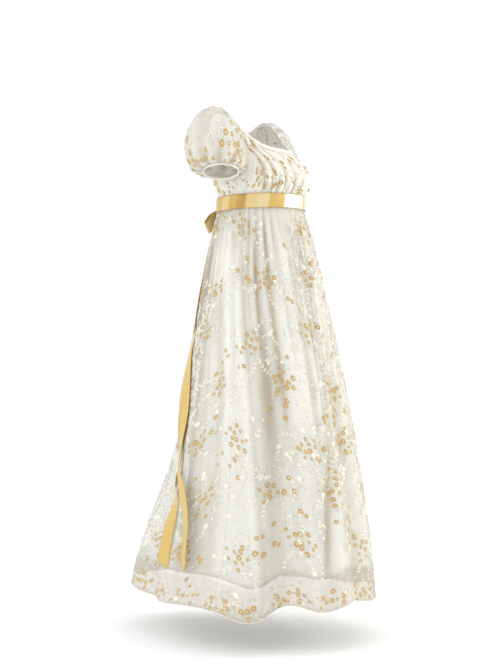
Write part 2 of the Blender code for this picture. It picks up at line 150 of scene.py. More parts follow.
# %% [markdown]
# ## The gown's sizes
# The solids were made from the named sizes and short tables below, all in metres. The finer cloth
# uses the same ones, so that each panel lies exactly where its solid is. Angles run round the body
# from the centre front (0) through the wearer's left (90) to the back (180).
# %% Named sizes


def table(columns, *rows):
    """Rows of numbers whose columns have names."""
    row_type = namedtuple("Row", columns)
    return [row_type(*row) for row in rows]


SEAM_GAP = 0.0004
WAIST_HEIGHT = -0.2465
WAIST_TILT = 0.0055
SASH_WIDTH = 0.038
SASH_STAND_OFF = 0.0026
SEAM_WAVE = 0.0014
SKIRT_HEM = -1.302
LINING_SHARE = 0.925
LINING_FOLD_SHARE = 0.8
CASING_HEIGHT = 0.009
CASING_FOOT = 0.0025
CASING_BEND = 0.3
CASING_WAVES = 40
CASING_WAVE_DEPTH = 0.0011
ARMHOLE_CENTRE = 93.0
ARMHOLE_SPREAD = 31.0
ARMHOLE_BOTTOM = -0.160
CUFF_CENTRE = {"left": (0.196, 0.026, -0.168), "right": (0.201, -0.002, -0.168)}
CUFF_RADIUS = 0.047
ARM_SWING = {"left": -0.10, "right": 0.16}
ARM_LIFT = 0.30
CUFF_HEIGHT = 0.006
CUFF_GAP = 0.0007
SLEEVE_GATHERS = 12
SLEEVE_WAVE = 0.0034
SLEEVE_SOFT_WAVE = 0.0016
FRONT_GATHERS = 16
FRONT_WAVE = 0.0034
BACK_GATHERS = 6
SKIRT_GATHERS = 40
SKIRT_WAVE = 0.0042
GATHER_REACH = 0.16
TAIL_WIDTH = 0.036
TAIL_START = 0.0203
TAIL_END = 0.915
TAIL_STAND_OFF = 0.0034
TAIL_WALL = 0.0005
LOOP_LENGTH = 0.074
LOOP_WIDTH = 0.036
LOOP_OPENING = 0.020
STRIDE_ANGLE = 166.0
STRIDE_SPREAD = 21.0
STRIDE_REACH = 0.150
STRIDE_START = 0.42

BODICE_SECTIONS = table(
    "rise half_width front back",
    (0.0, 0.139, -0.1335, 0.0915), (0.09, 0.139, -0.1335, 0.0915), (0.15, 0.143, -0.144, 0.096),
    (0.25, 0.146, -0.151, 0.104), (0.36, 0.147, -0.145, 0.109), (0.47, 0.148, -0.1255, 0.112),
    (0.56, 0.1485, -0.096, 0.113), (0.75, 0.15, -0.068, 0.112), (0.9, 0.147, -0.055, 0.109),
    (1.0, 0.141, -0.045, 0.106),
)
SKIRT_SECTIONS = table(
    "drop half_width front back",
    (0.0, 0.139, -0.1335, 0.0915), (0.02, 0.1395, -0.134, 0.092), (0.08, 0.154, -0.153, 0.108),
    (0.24, 0.187, -0.195, 0.137), (0.49, 0.219, -0.256, 0.17), (0.7, 0.248, -0.298, 0.208),
    (0.9, 0.277, -0.331, 0.252), (1.0, 0.286, -0.338, 0.27),
)
LINING_INSETS = table(
    "drop front back",
    (0.0, 0.0024, 0.0024), (0.03, 0.008, 0.008), (0.12, 0.0115, 0.013), (0.35, 0.012, 0.019),
    (0.7, 0.013, 0.025), (1.0, 0.013, 0.028),
)
HEM_PLACES = table(
    "angle spread drop",
    (-73, 9, 0.027), (-53, 7, -0.018), (-37, 8, 0.008), (-17, 8, -0.01), (38, 14, -0.012),
    (-150, 30, 0.006), (166, 30, -0.01),
)
NECK_STATIONS = table(
    "angle height",
    (0, -0.1085), (20, -0.108), (35, -0.101), (48, -0.081), (62, -0.05), (78, -0.019), (93, -0.008),
    (108, -0.015), (124, -0.034), (150, -0.054), (180, -0.06),
)
SKIRT_FOLDS = table(
    "waist hem spread depth",
    (-142, -146, 8, -0.012), (-122, -127, 10, 0.012), (-103, -110, 9, -0.01), (-84, -88, 10, 0.012),
    (-71, -73, 6, 0.017), (-61, -61, 5, -0.028), (-42, -41, 12, 0.009), (-26, -22, 5, 0.012),
    (-17, -12, 6, -0.014), (0, 3, 11, 0.008), (20, 23, 8, -0.011), (40, 42, 10, 0.01), (59, 61, 8, -0.013),
    (78, 80, 10, 0.012), (98, 100, 8, -0.013), (118, 120, 10, 0.012), (138, 139, 8, -0.013),
    (157, 158, 11, 0.012), (178, 178, 8, -0.012), (197, 196, 10, 0.01),
)
PUFF_STATIONS = table(
    "turn rise reach",
    (-180, 0.02, 0.02), (-135, 0.03, 0.04), (-90, 0.056, 0.066), (-45, 0.092, 0.07), (0, 0.098, 0.058),
    (45, 0.056, 0.046), (90, 0.032, 0.032), (135, 0.022, 0.022), (180, 0.02, 0.02),
)
TAIL_PATHS = {
    "sash_tail_left": table(
        "drop angle stand_off tilt",
        (0.0, 180, 0.001, 0), (0.25, 191, 0.0, 0), (0.4, 202, 0.0, 12), (0.5, 209, 0.0, 25),
        (0.58, 214, 0.0, 26), (0.64, 220, 0.0, 8), (0.7, 227, 0.0, -18), (0.76, 231, 0.0, 6),
        (0.82, 232, 0.0, 26), (1.0, 231, 0.0, 18),
    ),
    "sash_tail_right": table(
        "drop angle stand_off tilt",
        (0.0, 180, 0.006, 0), (0.25, 193, 0.005, 0), (0.4, 204, 0.005, 12), (0.52, 212, 0.005, 22),
        (0.6, 219, 0.006, 14), (0.66, 228, 0.006, 0), (0.71, 237, 0.004, -14), (0.8, 245, 0.002, -28),
        (1.0, 248, 0.001, -30),
    ),
}
print(len(SKIRT_FOLDS), "large folds,", SKIRT_GATHERS, "gathers at the waist")

# %% [markdown]
# ## Curves that the sizes run through
# Each helper takes whole arrays of places at once, which makes a panel of 26 thousand points in
# a moment. A table is read as a smooth curve through its rows, and a soft ridge is a bell curve.
# %% Smooth curves


def sine(degrees):
    return np.sin(np.radians(degrees))


def cosine(degrees):
    return np.cos(np.radians(degrees))


def smooth_step(share):
    share = np.clip(share, 0.0, 1.0)
    return share * share * (3.0 - 2.0 * share)


def bump(distance, spread):
    return np.exp(-0.5 * (distance / spread) ** 2)


def angle_between(angle, other):
    """Signed difference in degrees, from -180 to 180."""
    return (angle - other + 180.0) % 360.0 - 180.0


def along(rows, at, column):
    """A column of a table at places between its rows, as a smooth curve through them."""
    keys = np.array([row[0] for row in rows], float)
    values = np.array([getattr(row, column) for row in rows], float)
    at = np.clip(at, keys[0], keys[-1])
    row = np.clip(np.searchsorted(keys, at) - 1, 0, len(keys) - 2)
    before, after = np.maximum(row - 1, 0), np.minimum(row + 2, len(keys) - 1)
    step = keys[row + 1] - keys[row]
    share = (at - keys[row]) / step
    start, end = values[row], values[row + 1]
    slope_in = (end - values[before]) / (keys[row + 1] - keys[before]) * step
    slope_out = (values[after] - start) / (keys[after] - keys[row]) * step
    square, cube = share**2, share**3
    return (
        (2 * cube - 3 * square + 1) * start
        + (cube - 2 * square + share) * slope_in
        + (3 * square - 2 * cube) * end
        + (cube - square) * slope_out
    )


def point_array(x, y, z):
    return np.stack(np.broadcast_arrays(x, y, z), axis=-1).astype(float)


def unit(vectors):
    return vectors / np.linalg.norm(vectors, axis=-1, keepdims=True)


def oval_point(angle, half_width, front, back, height):
    """Points on an oval round the body and their outward directions, level with the ground."""
    turn = np.radians(angle)
    middle, half_depth = (front + back) / 2, (back - front) / 2
    place = point_array(half_width * np.sin(turn), middle - half_depth * np.cos(turn), height)
    outward = point_array(half_depth * np.sin(turn), -half_width * np.cos(turn), 0.0)
    return place, unit(outward)


# %% [markdown]
# ## Creases placed one by one
# The solids carry the large folds. What the eye reads as thin cloth is the smaller crease between
# them: uneven in length, depth and spacing. Each row below is one soft ridge, or a trough where the
# depth is negative, with its angle at the top and bottom and the stretch of cloth that it crosses.
# %% Crease tables
SKIRT_CREASES = table(
    "top foot start end spread depth",
    (-88.8, -68.6, 0.1, 1.3, 1.3, 0.0075), (-85.4, -65.6, 0.1, 1.1, 1.5, -0.0042),
    (-97.0, -83.0, 0.08, 1.3, 6.0, 0.0034), (-76.0, -57.0, 0.04, 0.72, 5.0, -0.0032),
    (-38.0, -44.0, 0.05, 1.2, 5.5, 0.003), (-100.0, -88.0, 0.05, 1.1, 2.4, 0.0032),
    (-94.5, -78.0, 0.03, 0.62, 1.5, -0.0036), (-106.0, -97.0, 0.16, 1.3, 1.6, -0.0034),
    (-113.0, -106.0, 0.05, 0.9, 1.7, 0.0042), (-119.0, -118.0, 0.1, 1.3, 1.8, -0.0036),
    (-130.0, -134.0, 0.05, 0.85, 2.0, -0.0034), (-150.0, -154.0, 0.1, 1.2, 2.2, 0.0034),
    (-74.0, -62.0, 0.03, 0.48, 1.5, 0.0044), (-70.0, -60.0, 0.04, 0.4, 1.3, -0.0042),
    (-63.0, -53.0, 0.1, 0.95, 1.6, 0.0038), (-57.0, -48.0, 0.03, 0.7, 1.5, -0.004),
    (-50.0, -42.0, 0.18, 1.2, 1.8, 0.0034), (-45.0, -38.0, 0.03, 0.5, 1.3, -0.0038),
    (-39.0, -35.0, 0.05, 0.8, 1.5, 0.0036), (-33.0, -31.0, 0.04, 1.15, 1.6, -0.004),
    (-26.0, -28.0, 0.05, 0.6, 1.3, 0.0036), (-17.0, -44.0, 0.02, 0.55, 1.4, -0.005),
    (-10.5, -42.0, 0.03, 0.8, 1.6, 0.0056), (-5.5, -37.0, 0.01, 1.05, 1.9, -0.0088),
    (-0.5, -31.0, 0.02, 1.2, 1.7, 0.0062), (-4.0, -12.0, 0.2, 1.3, 1.7, -0.0036),
    (6.0, 10.0, 0.03, 0.52, 1.6, 0.003), (13.0, 15.0, 0.08, 1.2, 1.8, -0.0034),
    (26.0, 30.0, 0.06, 0.9, 1.7, 0.003), (34.0, 35.0, 0.14, 1.2, 1.6, -0.0028),
    (48.0, 50.0, 0.04, 0.7, 1.9, -0.0032), (66.0, 69.0, 0.08, 1.1, 1.7, 0.0032),
    (86.0, 88.0, 0.05, 0.75, 1.9, -0.0032), (106.0, 109.0, 0.1, 1.2, 1.8, 0.003),
    (127.0, 129.0, 0.05, 0.85, 2.0, -0.0034), (146.0, 147.0, 0.08, 1.05, 1.8, 0.0032),
    (168.0, 169.0, 0.06, 0.8, 1.9, -0.0034), (187.0, 187.0, 0.12, 1.2, 1.8, 0.0032),
)
BODICE_CREASES = table(
    "top foot start end spread depth",
    (-60.0, -52.0, 0.0, 1.2, 1.3, -0.0026), (-57.0, -46.0, 0.04, 1.1, 1.4, 0.0028),
    (-52.0, -38.0, 0.0, 1.0, 1.4, -0.0026), (-46.0, -31.0, 0.06, 1.1, 1.5, 0.003),
    (-40.0, -25.0, 0.0, 0.92, 1.4, -0.0028), (-33.0, -19.0, 0.04, 1.2, 1.5, 0.0028),
    (-24.0, -13.5, 0.0, 1.1, 1.3, -0.0028), (-16.0, -9.0, 0.08, 1.2, 1.4, 0.0027),
    (-8.0, -4.0, 0.0, 1.15, 1.3, -0.0028), (1.0, 0.5, 0.06, 1.1, 1.5, 0.0025),
    (8.0, 5.0, 0.0, 1.05, 1.4, -0.0026), (17.0, 10.0, 0.06, 1.2, 1.5, 0.0028),
    (27.0, 15.0, 0.0, 1.05, 1.4, -0.0027), (36.0, 21.0, 0.08, 1.15, 1.5, 0.0027),
    (46.0, 29.0, 0.0, 1.1, 1.4, -0.0026), (57.0, 41.0, 0.04, 1.2, 1.5, 0.0026),
    (-72.0, -70.0, 0.0, 1.2, 1.6, 0.0016), (-80.0, -79.0, 0.1, 1.2, 1.4, -0.0014),
    (72.0, 70.0, 0.0, 1.2, 1.6, 0.0016), (80.0, 79.0, 0.1, 1.2, 1.4, -0.0014),
    (140.0, 148.0, 0.0, 1.1, 1.6, 0.0018), (152.0, 158.0, 0.05, 1.2, 1.6, -0.0018),
    (164.0, 167.0, 0.0, 1.1, 1.5, 0.0017), (176.0, 176.0, 0.05, 1.0, 1.5, -0.0018),
    (188.0, 186.0, 0.0, 1.2, 1.6, 0.0017), (200.0, 196.0, 0.05, 1.1, 1.6, -0.0018),
    (214.0, 207.0, 0.0, 1.2, 1.6, 0.0017),
)


CREASE_FADE_IN = 0.10
CREASE_FADE_OUT = 0.2


def crease_depth(creases, angle, share):
    """The sum of a table's ridges and troughs, each softened where it starts and ends."""
    total = 0.0
    for crease in creases:
        centre = crease.top + (crease.foot - crease.top) * share
        begun = smooth_step((share - crease.start) / CREASE_FADE_IN)
        ended = smooth_step((share - crease.end + CREASE_FADE_OUT) / CREASE_FADE_OUT)
        window = begun * (1 - ended)
        total = total + crease.depth * window * bump(angle_between(angle, centre), crease.spread)
    return total


print(len(SKIRT_CREASES), "creases in the skirt,", len(BODICE_CREASES), "in the bodice")

# %% [markdown]
# ## The skirt's surface
# A gathered skirt is an oval that widens downwards, with fine gathers under the sash that open out
# into large folds. At the back, on the wearer's left, the walking pose carries the cloth outwards.
# The same function gives the lining, moved in, with shallower folds and none of the small creases.
# %% Skirt and lining surfaces


def waist_height(angle):
    return WAIST_HEIGHT + WAIST_TILT * cosine(angle)


def hem_dip(angle):
    return sum(place.drop * bump(angle_between(angle, place.angle), place.spread) for place in HEM_PLACES)


def skirt_oval(angle, drop):
    bottom = SKIRT_HEM - hem_dip(angle)
    top = waist_height(angle) - SEAM_GAP
    sizes = [along(SKIRT_SECTIONS, drop, column) for column in ("half_width", "front", "back")]
    return oval_point(angle, *sizes, top + (bottom - top) * drop)


def fold_depth(angle, drop):
    total = 0.0
    for fold in SKIRT_FOLDS:
        centre = fold.waist + (fold.hem - fold.waist) * drop
        total = total + fold.depth * bump(angle_between(angle, centre), fold.spread)
    return total * smooth_step((drop - 0.03) / 0.55)


def stride(angle, drop):
    share = smooth_step((drop - STRIDE_START) / (1.0 - STRIDE_START))
    return STRIDE_REACH * share * bump(angle_between(angle, STRIDE_ANGLE), STRIDE_SPREAD)


SMALL_GATHER = 0.0009


def skirt_gather(angle, drop):
    """Gathers under the sash, with smaller ones between them that fade sooner."""
    below_sash = smooth_step((drop - 0.02) / 0.05)
    fading = 1.0 - smooth_step((drop - 0.05) / GATHER_REACH)
    uneven = 0.72 + 0.28 * sine(5.0 * angle + 20)
    depth = (SEAM_WAVE + (SKIRT_WAVE - SEAM_WAVE) * below_sash) * fading
    gathers = depth * uneven * sine(SKIRT_GATHERS * angle)
    crowded = np.sin(np.radians(97 * angle) + 1.4 * sine(7 * angle))
    return gathers + SMALL_GATHER * bump(drop - 0.035, 0.035) * crowded


def skirt_point(angle, drop):
    place, outward = skirt_oval(angle, drop)
    swell = fold_depth(angle, drop) + stride(angle, drop)
    detail = skirt_gather(angle, drop) + crease_depth(SKIRT_CREASES, angle, drop)
    return place + outward * (swell + detail)[..., None]


def lining_point(angle, drop):
    on_skirt = drop * LINING_SHARE
    place, outward = skirt_oval(angle, on_skirt)
    forward = 0.5 + 0.5 * cosine(angle)
    front, back = (along(LINING_INSETS, drop, column) for column in ("front", "back"))
    inset = front * forward + back * (1.0 - forward)
    swell = LINING_FOLD_SHARE * fold_depth(angle, on_skirt) + stride(angle, on_skirt)
    ripple = 0.0006 * sine(23 * angle) * smooth_step(drop / 0.3)
    return place + outward * (swell + ripple - inset)[..., None]


# %% [markdown]
# ## The bodice, the neck casing and the sleeves
# The bodice runs from the waist seam to the neckline in front and behind, and to the armhole at the
# sides. A puff sleeve is drawn as one curve for each direction round the arm: it springs from the
# armhole, swells, and comes back in to the cuff.
# %% Bodice surface


def neck_height(angle):
    return along(NECK_STATIONS, np.abs(angle_between(angle, 0.0)), "height")


def armhole_height(angle):
    """The lower edge of the armhole: half an ellipse hung between the two corners on the neck seam."""
    share = (np.abs(angle_between(angle, 0.0)) - ARMHOLE_CENTRE) / ARMHOLE_SPREAD
    front_corner = neck_height(ARMHOLE_CENTRE - ARMHOLE_SPREAD)
    back_corner = neck_height(ARMHOLE_CENTRE + ARMHOLE_SPREAD)
    corner_line = front_corner + (back_corner - front_corner) * (share + 1) / 2
    depth = (front_corner + back_corner) / 2 - ARMHOLE_BOTTOM
    return corner_line - depth * np.sqrt(np.maximum(0.0, 1.0 - share * share))


def bodice_surface(angle, height):
    rise = 1.0 - height / waist_height(angle)
    sizes = [along(BODICE_SECTIONS, rise, column) for column in ("half_width", "front", "back")]
    return oval_point(angle, *sizes, height)


def bodice_top(angle):
    off_side = np.abs(np.abs(angle_between(angle, 0.0)) - ARMHOLE_CENTRE)
    return np.where(off_side < ARMHOLE_SPREAD, armhole_height(angle), neck_height(angle))


BODICE_SMALL_GATHER = 0.0015
SASH_CLEARANCE = 0.012


def bodice_gather(angle, share):
    """Gathers between the casing and the sash, with fine crisp ones where the sash pulls them in."""
    off_front = np.abs(angle_between(angle, 0.0))
    front_edge = ARMHOLE_CENTRE - ARMHOLE_SPREAD
    back_edge = 180 - ARMHOLE_CENTRE - ARMHOLE_SPREAD
    in_front, behind = off_front < front_edge, off_front > 180 - back_edge
    gathers = np.where(in_front, FRONT_GATHERS, BACK_GATHERS)
    half_arc = np.where(in_front, front_edge, back_edge)
    depth = np.where(in_front, FRONT_WAVE, SEAM_WAVE)
    above_seam = share * (bodice_top(angle) - waist_height(angle))
    clear_of_sash = smooth_step((above_seam - SASH_WIDTH / 2) / SASH_CLEARANCE)
    over_sash = bump(share - 0.26, 0.19) * clear_of_sash
    under_casing = 0.5 * bump(share - 1.0, 0.20)
    at_seam = SEAM_WAVE * bump(share, 0.12)
    uneven = 0.68 + 0.32 * sine(6.1 * angle + 40)
    place = angle_between(angle, np.where(in_front, 0.0, 180.0)) / (2 * half_arc) + 0.5
    drift = 1.1 * sine(5.3 * angle + 70) + 0.7 * sine(11 * angle)
    wave = np.sin(2 * np.pi * gathers * place + drift)
    edge = smooth_step(np.minimum(np.abs(off_front - front_edge), np.abs(180 - back_edge - off_front)) / 3.0)
    small = BODICE_SMALL_GATHER * bump(share - 0.19, 0.12) * clear_of_sash
    small = small * np.sin(2 * np.pi * 2.7 * gathers * place)
    deep = np.maximum(depth * uneven * (over_sash + under_casing), at_seam) + 0.0003
    return np.where(in_front | behind, (deep * wave + small) * edge, 0.0)


def bodice_creases(angle, down):
    """The creases are deep where the sash pulls the cloth in and soften towards the neckline."""
    return crease_depth(BODICE_CREASES, angle, down) * (0.45 + 0.55 * smooth_step(down / 0.65))


def bodice_point(angle, share):
    """A point of the bodice, from the waist seam (share 0) to its top edge (share 1)."""
    bottom, top = waist_height(angle) + SEAM_GAP, bodice_top(angle)
    place, outward = bodice_surface(angle, bottom + (top - bottom) * share)
    clear_of_sash = smooth_step((share * (top - bottom) - SASH_WIDTH / 2) / SASH_CLEARANCE)
    creases = bodice_creases(angle, 1.0 - share) * clear_of_sash
    return place + outward * (bodice_gather(angle, share) + creases)[..., None]


def casing_point(angle, share):
    """The gathered neck casing stands on the neck seam and leans in, most over the shoulder."""
    place, outward = bodice_surface(angle, neck_height(angle))
    at_shoulder = bump(np.abs(angle_between(angle, 0.0)) - ARMHOLE_CENTRE, 24.0)
    lean = np.radians(24 + 30 * at_shoulder)
    foot = 2 * SEAM_GAP + CASING_FOOT * np.minimum(1.0, share / CASING_BEND)
    above = np.maximum(0.0, share - CASING_BEND) / (1.0 - CASING_BEND)
    rise = (CASING_HEIGHT - CASING_FOOT) * above
    rise = rise * (1.0 + 0.14 * sine(61 * angle + 80 * sine(9 * angle)))
    wave = CASING_WAVE_DEPTH * sine(CASING_WAVES * angle) * (0.3 + 0.7 * share)
    wave = wave + 0.0007 * sine(103 * angle + 60 * sine(11 * angle)) * share
    lift = point_array(0.0, 0.0, foot + rise * np.cos(lean))
    return place + lift + outward * (wave - rise * np.sin(lean))[..., None]


# %% Sleeve and cuff surfaces


def armhole_point(turn):
    """The armhole's edge and the way out of it; turn is 0 at the shoulder and 90 at the front."""
    angle = ARMHOLE_CENTRE - ARMHOLE_SPREAD * sine(turn)
    above = cosine(turn) > 0
    place, outward = bodice_surface(angle, np.where(above, neck_height(angle), armhole_height(angle)))
    return place + outward * 2 * SEAM_GAP, outward


def cuff_point(side, turn, drop=0.0):
    """The cuff's ring round the arm, square to it, and its outward direction."""
    angle = np.radians(turn)
    radial = point_array(np.cos(angle), -np.sin(angle), 0.0)
    arm_up = unit(np.array([-ARM_LIFT, ARM_SWING[side], 1.0]))
    outward = unit(radial - arm_up * (radial @ arm_up)[..., None])
    down = np.asarray(drop)[..., None]
    return np.array(CUFF_CENTRE[side]) + outward * CUFF_RADIUS - arm_up * down, outward


def sleeve_point(side, turn, share):
    """The puff: a cubic curve from the armhole to the cuff for each turn round the arm."""
    start, leaving = armhole_point(turn)
    end, arriving = cuff_point(side, turn)
    angle = np.radians(turn)
    round_armhole = point_array(0.0, -np.sin(angle), np.cos(angle))
    place_in_table = angle_between(turn, 0.0)
    rise = along(PUFF_STATIONS, place_in_table, "rise")[..., None]
    reach = along(PUFF_STATIONS, place_in_table, "reach")[..., None]
    first = start + unit(leaving * 0.74 + round_armhole * 0.60) * rise
    second = end + unit(arriving * 0.96 + np.array([0.0, 0.0, -0.30])) * reach
    rest, part = (1.0 - share)[..., None], share[..., None]
    place = start * rest**3 + first * 3 * rest**2 * part + second * 3 * rest * part**2 + end * part**3
    gathers = SLEEVE_WAVE * np.sin(SLEEVE_GATHERS * angle) * (0.35 + np.abs(share - 0.45) * 1.3)
    held = np.minimum(1.0, np.minimum(8.0 * share, 10.0 * (1 - share) + 0.35))
    near_ends = bump(share - 0.06, 0.07) + bump(share - 0.93, 0.07)
    small = SMALL_GATHER * near_ends * np.sin(31 * angle + 1.2 * np.sin(4 * angle))
    soft = SLEEVE_SOFT_WAVE * np.sin(7 * angle + 5 * share) * np.sin(np.pi * share) ** 2
    swell = (gathers + small + soft) * held
    return place + unit(leaving * rest + arriving * part) * swell[..., None]


def on_arm(side, shape):
    """A sleeve part as angle and share: the right one is mirrored, and both run round the same way."""
    if side == "left":
        return lambda angle, share: shape(side, -angle, share)
    return lambda angle, share: shape(side, angle, share) * np.array([-1.0, 1.0, 1.0])


# %% [markdown]
# ## From points to cloth
# Each panel becomes a grid of quads with its own UV map in metres of flat cloth, so that a weave or
# a thread keeps its real size on it. Solidify then gives the cloth a thin closed wall.
# %% Make a cloth panel
# A panel's point gives places from an angle and a share. Its across is the metres of flat cloth to a
# degree at a share, and its length is the metres of flat cloth from share 0 to share 1.
Panel = namedtuple("Panel", "name point across length")
# LEVEL_TONE is level cloth, with neither painted shade nor painted highlight.
LEVEL_TONE = 0.5


def even(metres):
    """The same metres of flat cloth to a degree all the way down a panel."""
    return lambda share: metres + 0.0 * share


def finish_piece(obj, material, *replaced, slot=None):
    """Links a finished piece, gives it its material and body, and hides the solids that it stands for."""
    if obj.name not in bpy.context.scene.collection.objects:
        bpy.context.scene.collection.objects.link(obj)
    if not obj.data.materials:
        obj.data.materials.append(material)
    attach(obj, "root")
    if replaced:
        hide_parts(*replaced)
    return obj


panels = {}


def finish_panel(node, cloth, material, slot):
    """Finishes a panel that stands for the solid of this name."""
    panels[node] = finish_piece(cloth, material, node, slot=slot)


def cloth_grid(name, place, uv, wall, closed=False, outward=False, fold=None):
    """Rows of points from top to bottom become a walled cloth. A closed one runs round to its start."""
    rows, columns = place.shape[:2]
    index = np.arange(rows * columns).reshape(rows, columns)
    uv_index = np.arange(uv.shape[0] * uv.shape[1]).reshape(uv.shape[:2])
    if closed:
        index = np.concatenate([index, index[:, :1]], axis=1)
    corners = [(slice(None, -1), slice(None, -1)), (slice(1, None), slice(None, -1))]
    corners += [(slice(1, None), slice(1, None)), (slice(None, -1), slice(1, None))]
    quads = np.stack([index[corner] for corner in corners], axis=-1).reshape(-1, 4)
    uv_quads = np.stack([uv_index[corner] for corner in corners], axis=-1).reshape(-1)
    mesh = bpy.data.meshes.new(name)
    mesh.from_pydata(place.reshape(-1, 3).tolist(), [], quads.tolist())
    layer = mesh.uv_layers.new(name="Cloth")
    layer.data.foreach_set("uv", uv.reshape(-1, 2)[uv_quads].astype(np.float32).ravel())
    # The fold attribute holds the painted shade and painted highlight: 0 full shade, 1 full highlight.
    attribute = mesh.attributes.new("fold", "FLOAT", "POINT")
    tone = np.broadcast_to(LEVEL_TONE if fold is None else fold, (rows, columns))
    attribute.data.foreach_set("value", tone.astype(np.float32).ravel())
    mesh.shade_smooth()
    obj = bpy.data.objects.new(name, mesh)
    thick = obj.modifiers.new("cloth wall", "SOLIDIFY")
    thick.thickness = wall
    thick.offset = 1.0 if outward else -1.0
    return obj


def panel_grid(panel, angles, shares, wall, closed=False, fold=None, outward=False):
    """A panel's cloth over these angles and shares, from the top down."""
    angle, share = np.meshgrid(np.array(angles, float), np.array(shares, float))
    place = panel.point(angle, share)
    if closed:
        place = place[:, :-1]
    uv = np.stack([angle * panel.across(share), share * panel.length], axis=-1)
    tone = None if fold is None else fold(angle, share)[:, : place.shape[1]]
    return cloth_grid(panel.name, place, uv, wall, closed, outward, tone)


# %% [markdown]
# ## Finishes
# Organza is a sheer plain weave of fine stiff threads, so it lets through what lies behind it and
# keeps a dry sheen. Its warp and weft show as thin streaks of uneven thread. The real threads lie
# 0.25 mm apart, too fine to show here, so only the thicker slubs are drawn, every few millimetres.
# %% Organza


def new_material(name, colour, roughness, **sockets):
    """A material with one Principled shader, its constant values set on the shader's own sockets."""
    material = bpy.data.materials.new(name)
    material.use_nodes = True
    shader = material.node_tree.nodes["Principled BSDF"]
    shader.inputs["Base Color"].default_value = linear(colour)
    shader.inputs["Roughness"].default_value = roughness
    for socket, value in sockets.items():
        shader.inputs[socket.replace("_", " ")].default_value = value
    return material, material.node_tree, shader


SLUB_LENGTH = 14


def thread_streaks(tree, across_pitch, down_pitch):
    """Slubs of warp and weft in metres of flat cloth, as one value round 0.5."""
    cloth = add_node(tree, "ShaderNodeUVMap", uv_map="Cloth")
    warp = (1 / across_pitch, 1 / (down_pitch * SLUB_LENGTH), 1)
    weft = (1 / (across_pitch * SLUB_LENGTH), 1 / down_pitch, 1)
    values = []
    for scale in (warp, weft):
        stretched = add_node(tree, "ShaderNodeMapping", {"Vector": cloth, "Scale": scale})
        noise = add_node(tree, "ShaderNodeTexNoise", {"Vector": stretched, "Scale": 1.0, "Detail": 2.0})
        values.append(noise.outputs["Fac"])
    total = add_node(tree, "ShaderNodeMath", dict(enumerate(values)), operation="ADD")
    return add_node(tree, "ShaderNodeMath", {0: total, 1: 0.5}, operation="MULTIPLY")


def woven_face(tree, shader, streaks, light, shade, relief, trough_shade=None, ridge_highlight=None):
    """The threads' uneven tone and relief, with painted shade down in a fold and a painted highlight up on
    crests.
    """
    mix = {0: streaks, 6: linear(shade), 7: linear(light)}
    tone = add_node(tree, "ShaderNodeMix", mix, data_type="RGBA").outputs[2]
    if trough_shade:
        # The fold attribute sets the painted shade below 0.5 and the painted highlight above 0.5.
        fold = add_node(tree, "ShaderNodeAttribute", attribute_name="fold").outputs["Fac"]
        for colour, end in ((trough_shade, 0.0), (ridge_highlight, 1.0)):
            span = {"Value": fold, 1: LEVEL_TONE, 2: end, 3: 0.0, 4: 0.9}
            amount = add_node(tree, "ShaderNodeMapRange", span)
            mix = {0: amount, 6: tone, 7: linear(colour)}
            tone = add_node(tree, "ShaderNodeMix", mix, data_type="RGBA").outputs[2]
    tree.links.new(tone, shader.inputs["Base Color"])
    strength, depth = relief
    raised = add_node(tree, "ShaderNodeBump", {"Height": streaks, "Strength": strength, "Distance": depth})
    tree.links.new(raised.outputs[0], shader.inputs["Normal"])
    return tone


HEM_FADE = 0.02
HEM_GROUND = "#C6BEAD"
HEM_CLOSER = 0.32


def organza_material(name, clear, thick, hem=None):
    """Woven polyester organza; clear and thick are how much a thin and a dense thread hide.

    From hem metres down the ground is worked with stitches too fine to draw: it is closer and warmer.
    """
    material, tree, shader = new_material(name, "#ECECE4", 0.42, Sheen_Weight=0.15, Sheen_Roughness=0.4)
    streaks = thread_streaks(tree, 0.0016, 0.0016)
    # B3A184 is the painted shade down in the folds and #FBFBF6 the painted highlight along the crests.
    tone = woven_face(tree, shader, streaks, "#E8E6DC", "#DAD7CA", (0.15, 0.0003), "#B3A184", "#FBFBF6")
    if thick < 1.0:
        alpha = add_node(tree, "ShaderNodeMapRange", {"Value": streaks, 1: 0.35, 2: 0.65, 3: clear, 4: thick})
        if hem:
            cloth = add_node(tree, "ShaderNodeUVMap", uv_map="Cloth")
            down = add_node(tree, "ShaderNodeSeparateXYZ", {0: cloth}).outputs[1]
            band = {"Value": down, 1: hem, 2: hem + HEM_FADE, 3: 0.0, 4: 0.75}
            worked = add_node(tree, "ShaderNodeMapRange", band)
            mix = {0: worked, 6: tone, 7: linear(HEM_GROUND)}
            warm = add_node(tree, "ShaderNodeMix", mix, data_type="RGBA").outputs[2]
            tree.links.new(warm, shader.inputs["Base Color"])
            closer = {0: worked, 1: HEM_CLOSER, 2: alpha}
            alpha = add_node(tree, "ShaderNodeMath", closer, operation="MULTIPLY_ADD")
        tree.links.new(alpha.outputs[0], shader.inputs["Alpha"])
    return material


organza = organza_material("woven polyester organza", 0.20, 0.28, hem=0.964)
sleeve_organza = organza_material("woven organza in two layers", 0.50, 0.60)
bodice_organza = organza_material("woven organza mounted on satin", 1.0, 1.0)

# %% [markdown]
# The lining is a polyester satin: long floats of warp make it smooth, with a soft low gloss and no
# weave to be seen. The narrow bands are plain cotton, matt and white. The ribbon is a double-faced
# satin woven close in gold, so its gloss is strong and drawn out across the floats.
# %% Satin, cotton and ribbon
satin_lining, tree, shader = new_material(
    "warp satin lining", "#F2F3EE", 0.46, Sheen_Weight=0.1, Anisotropic=0.3
)
streaks = thread_streaks(tree, 0.006, 0.018)
# C8B99E is painted shade down in the folds and #FDFDFB a painted highlight along the crests.
woven_face(tree, shader, streaks, "#F6F6F0", "#EEEEE6", (0.08, 0.0004), "#C8B99E", "#FDFDFB")

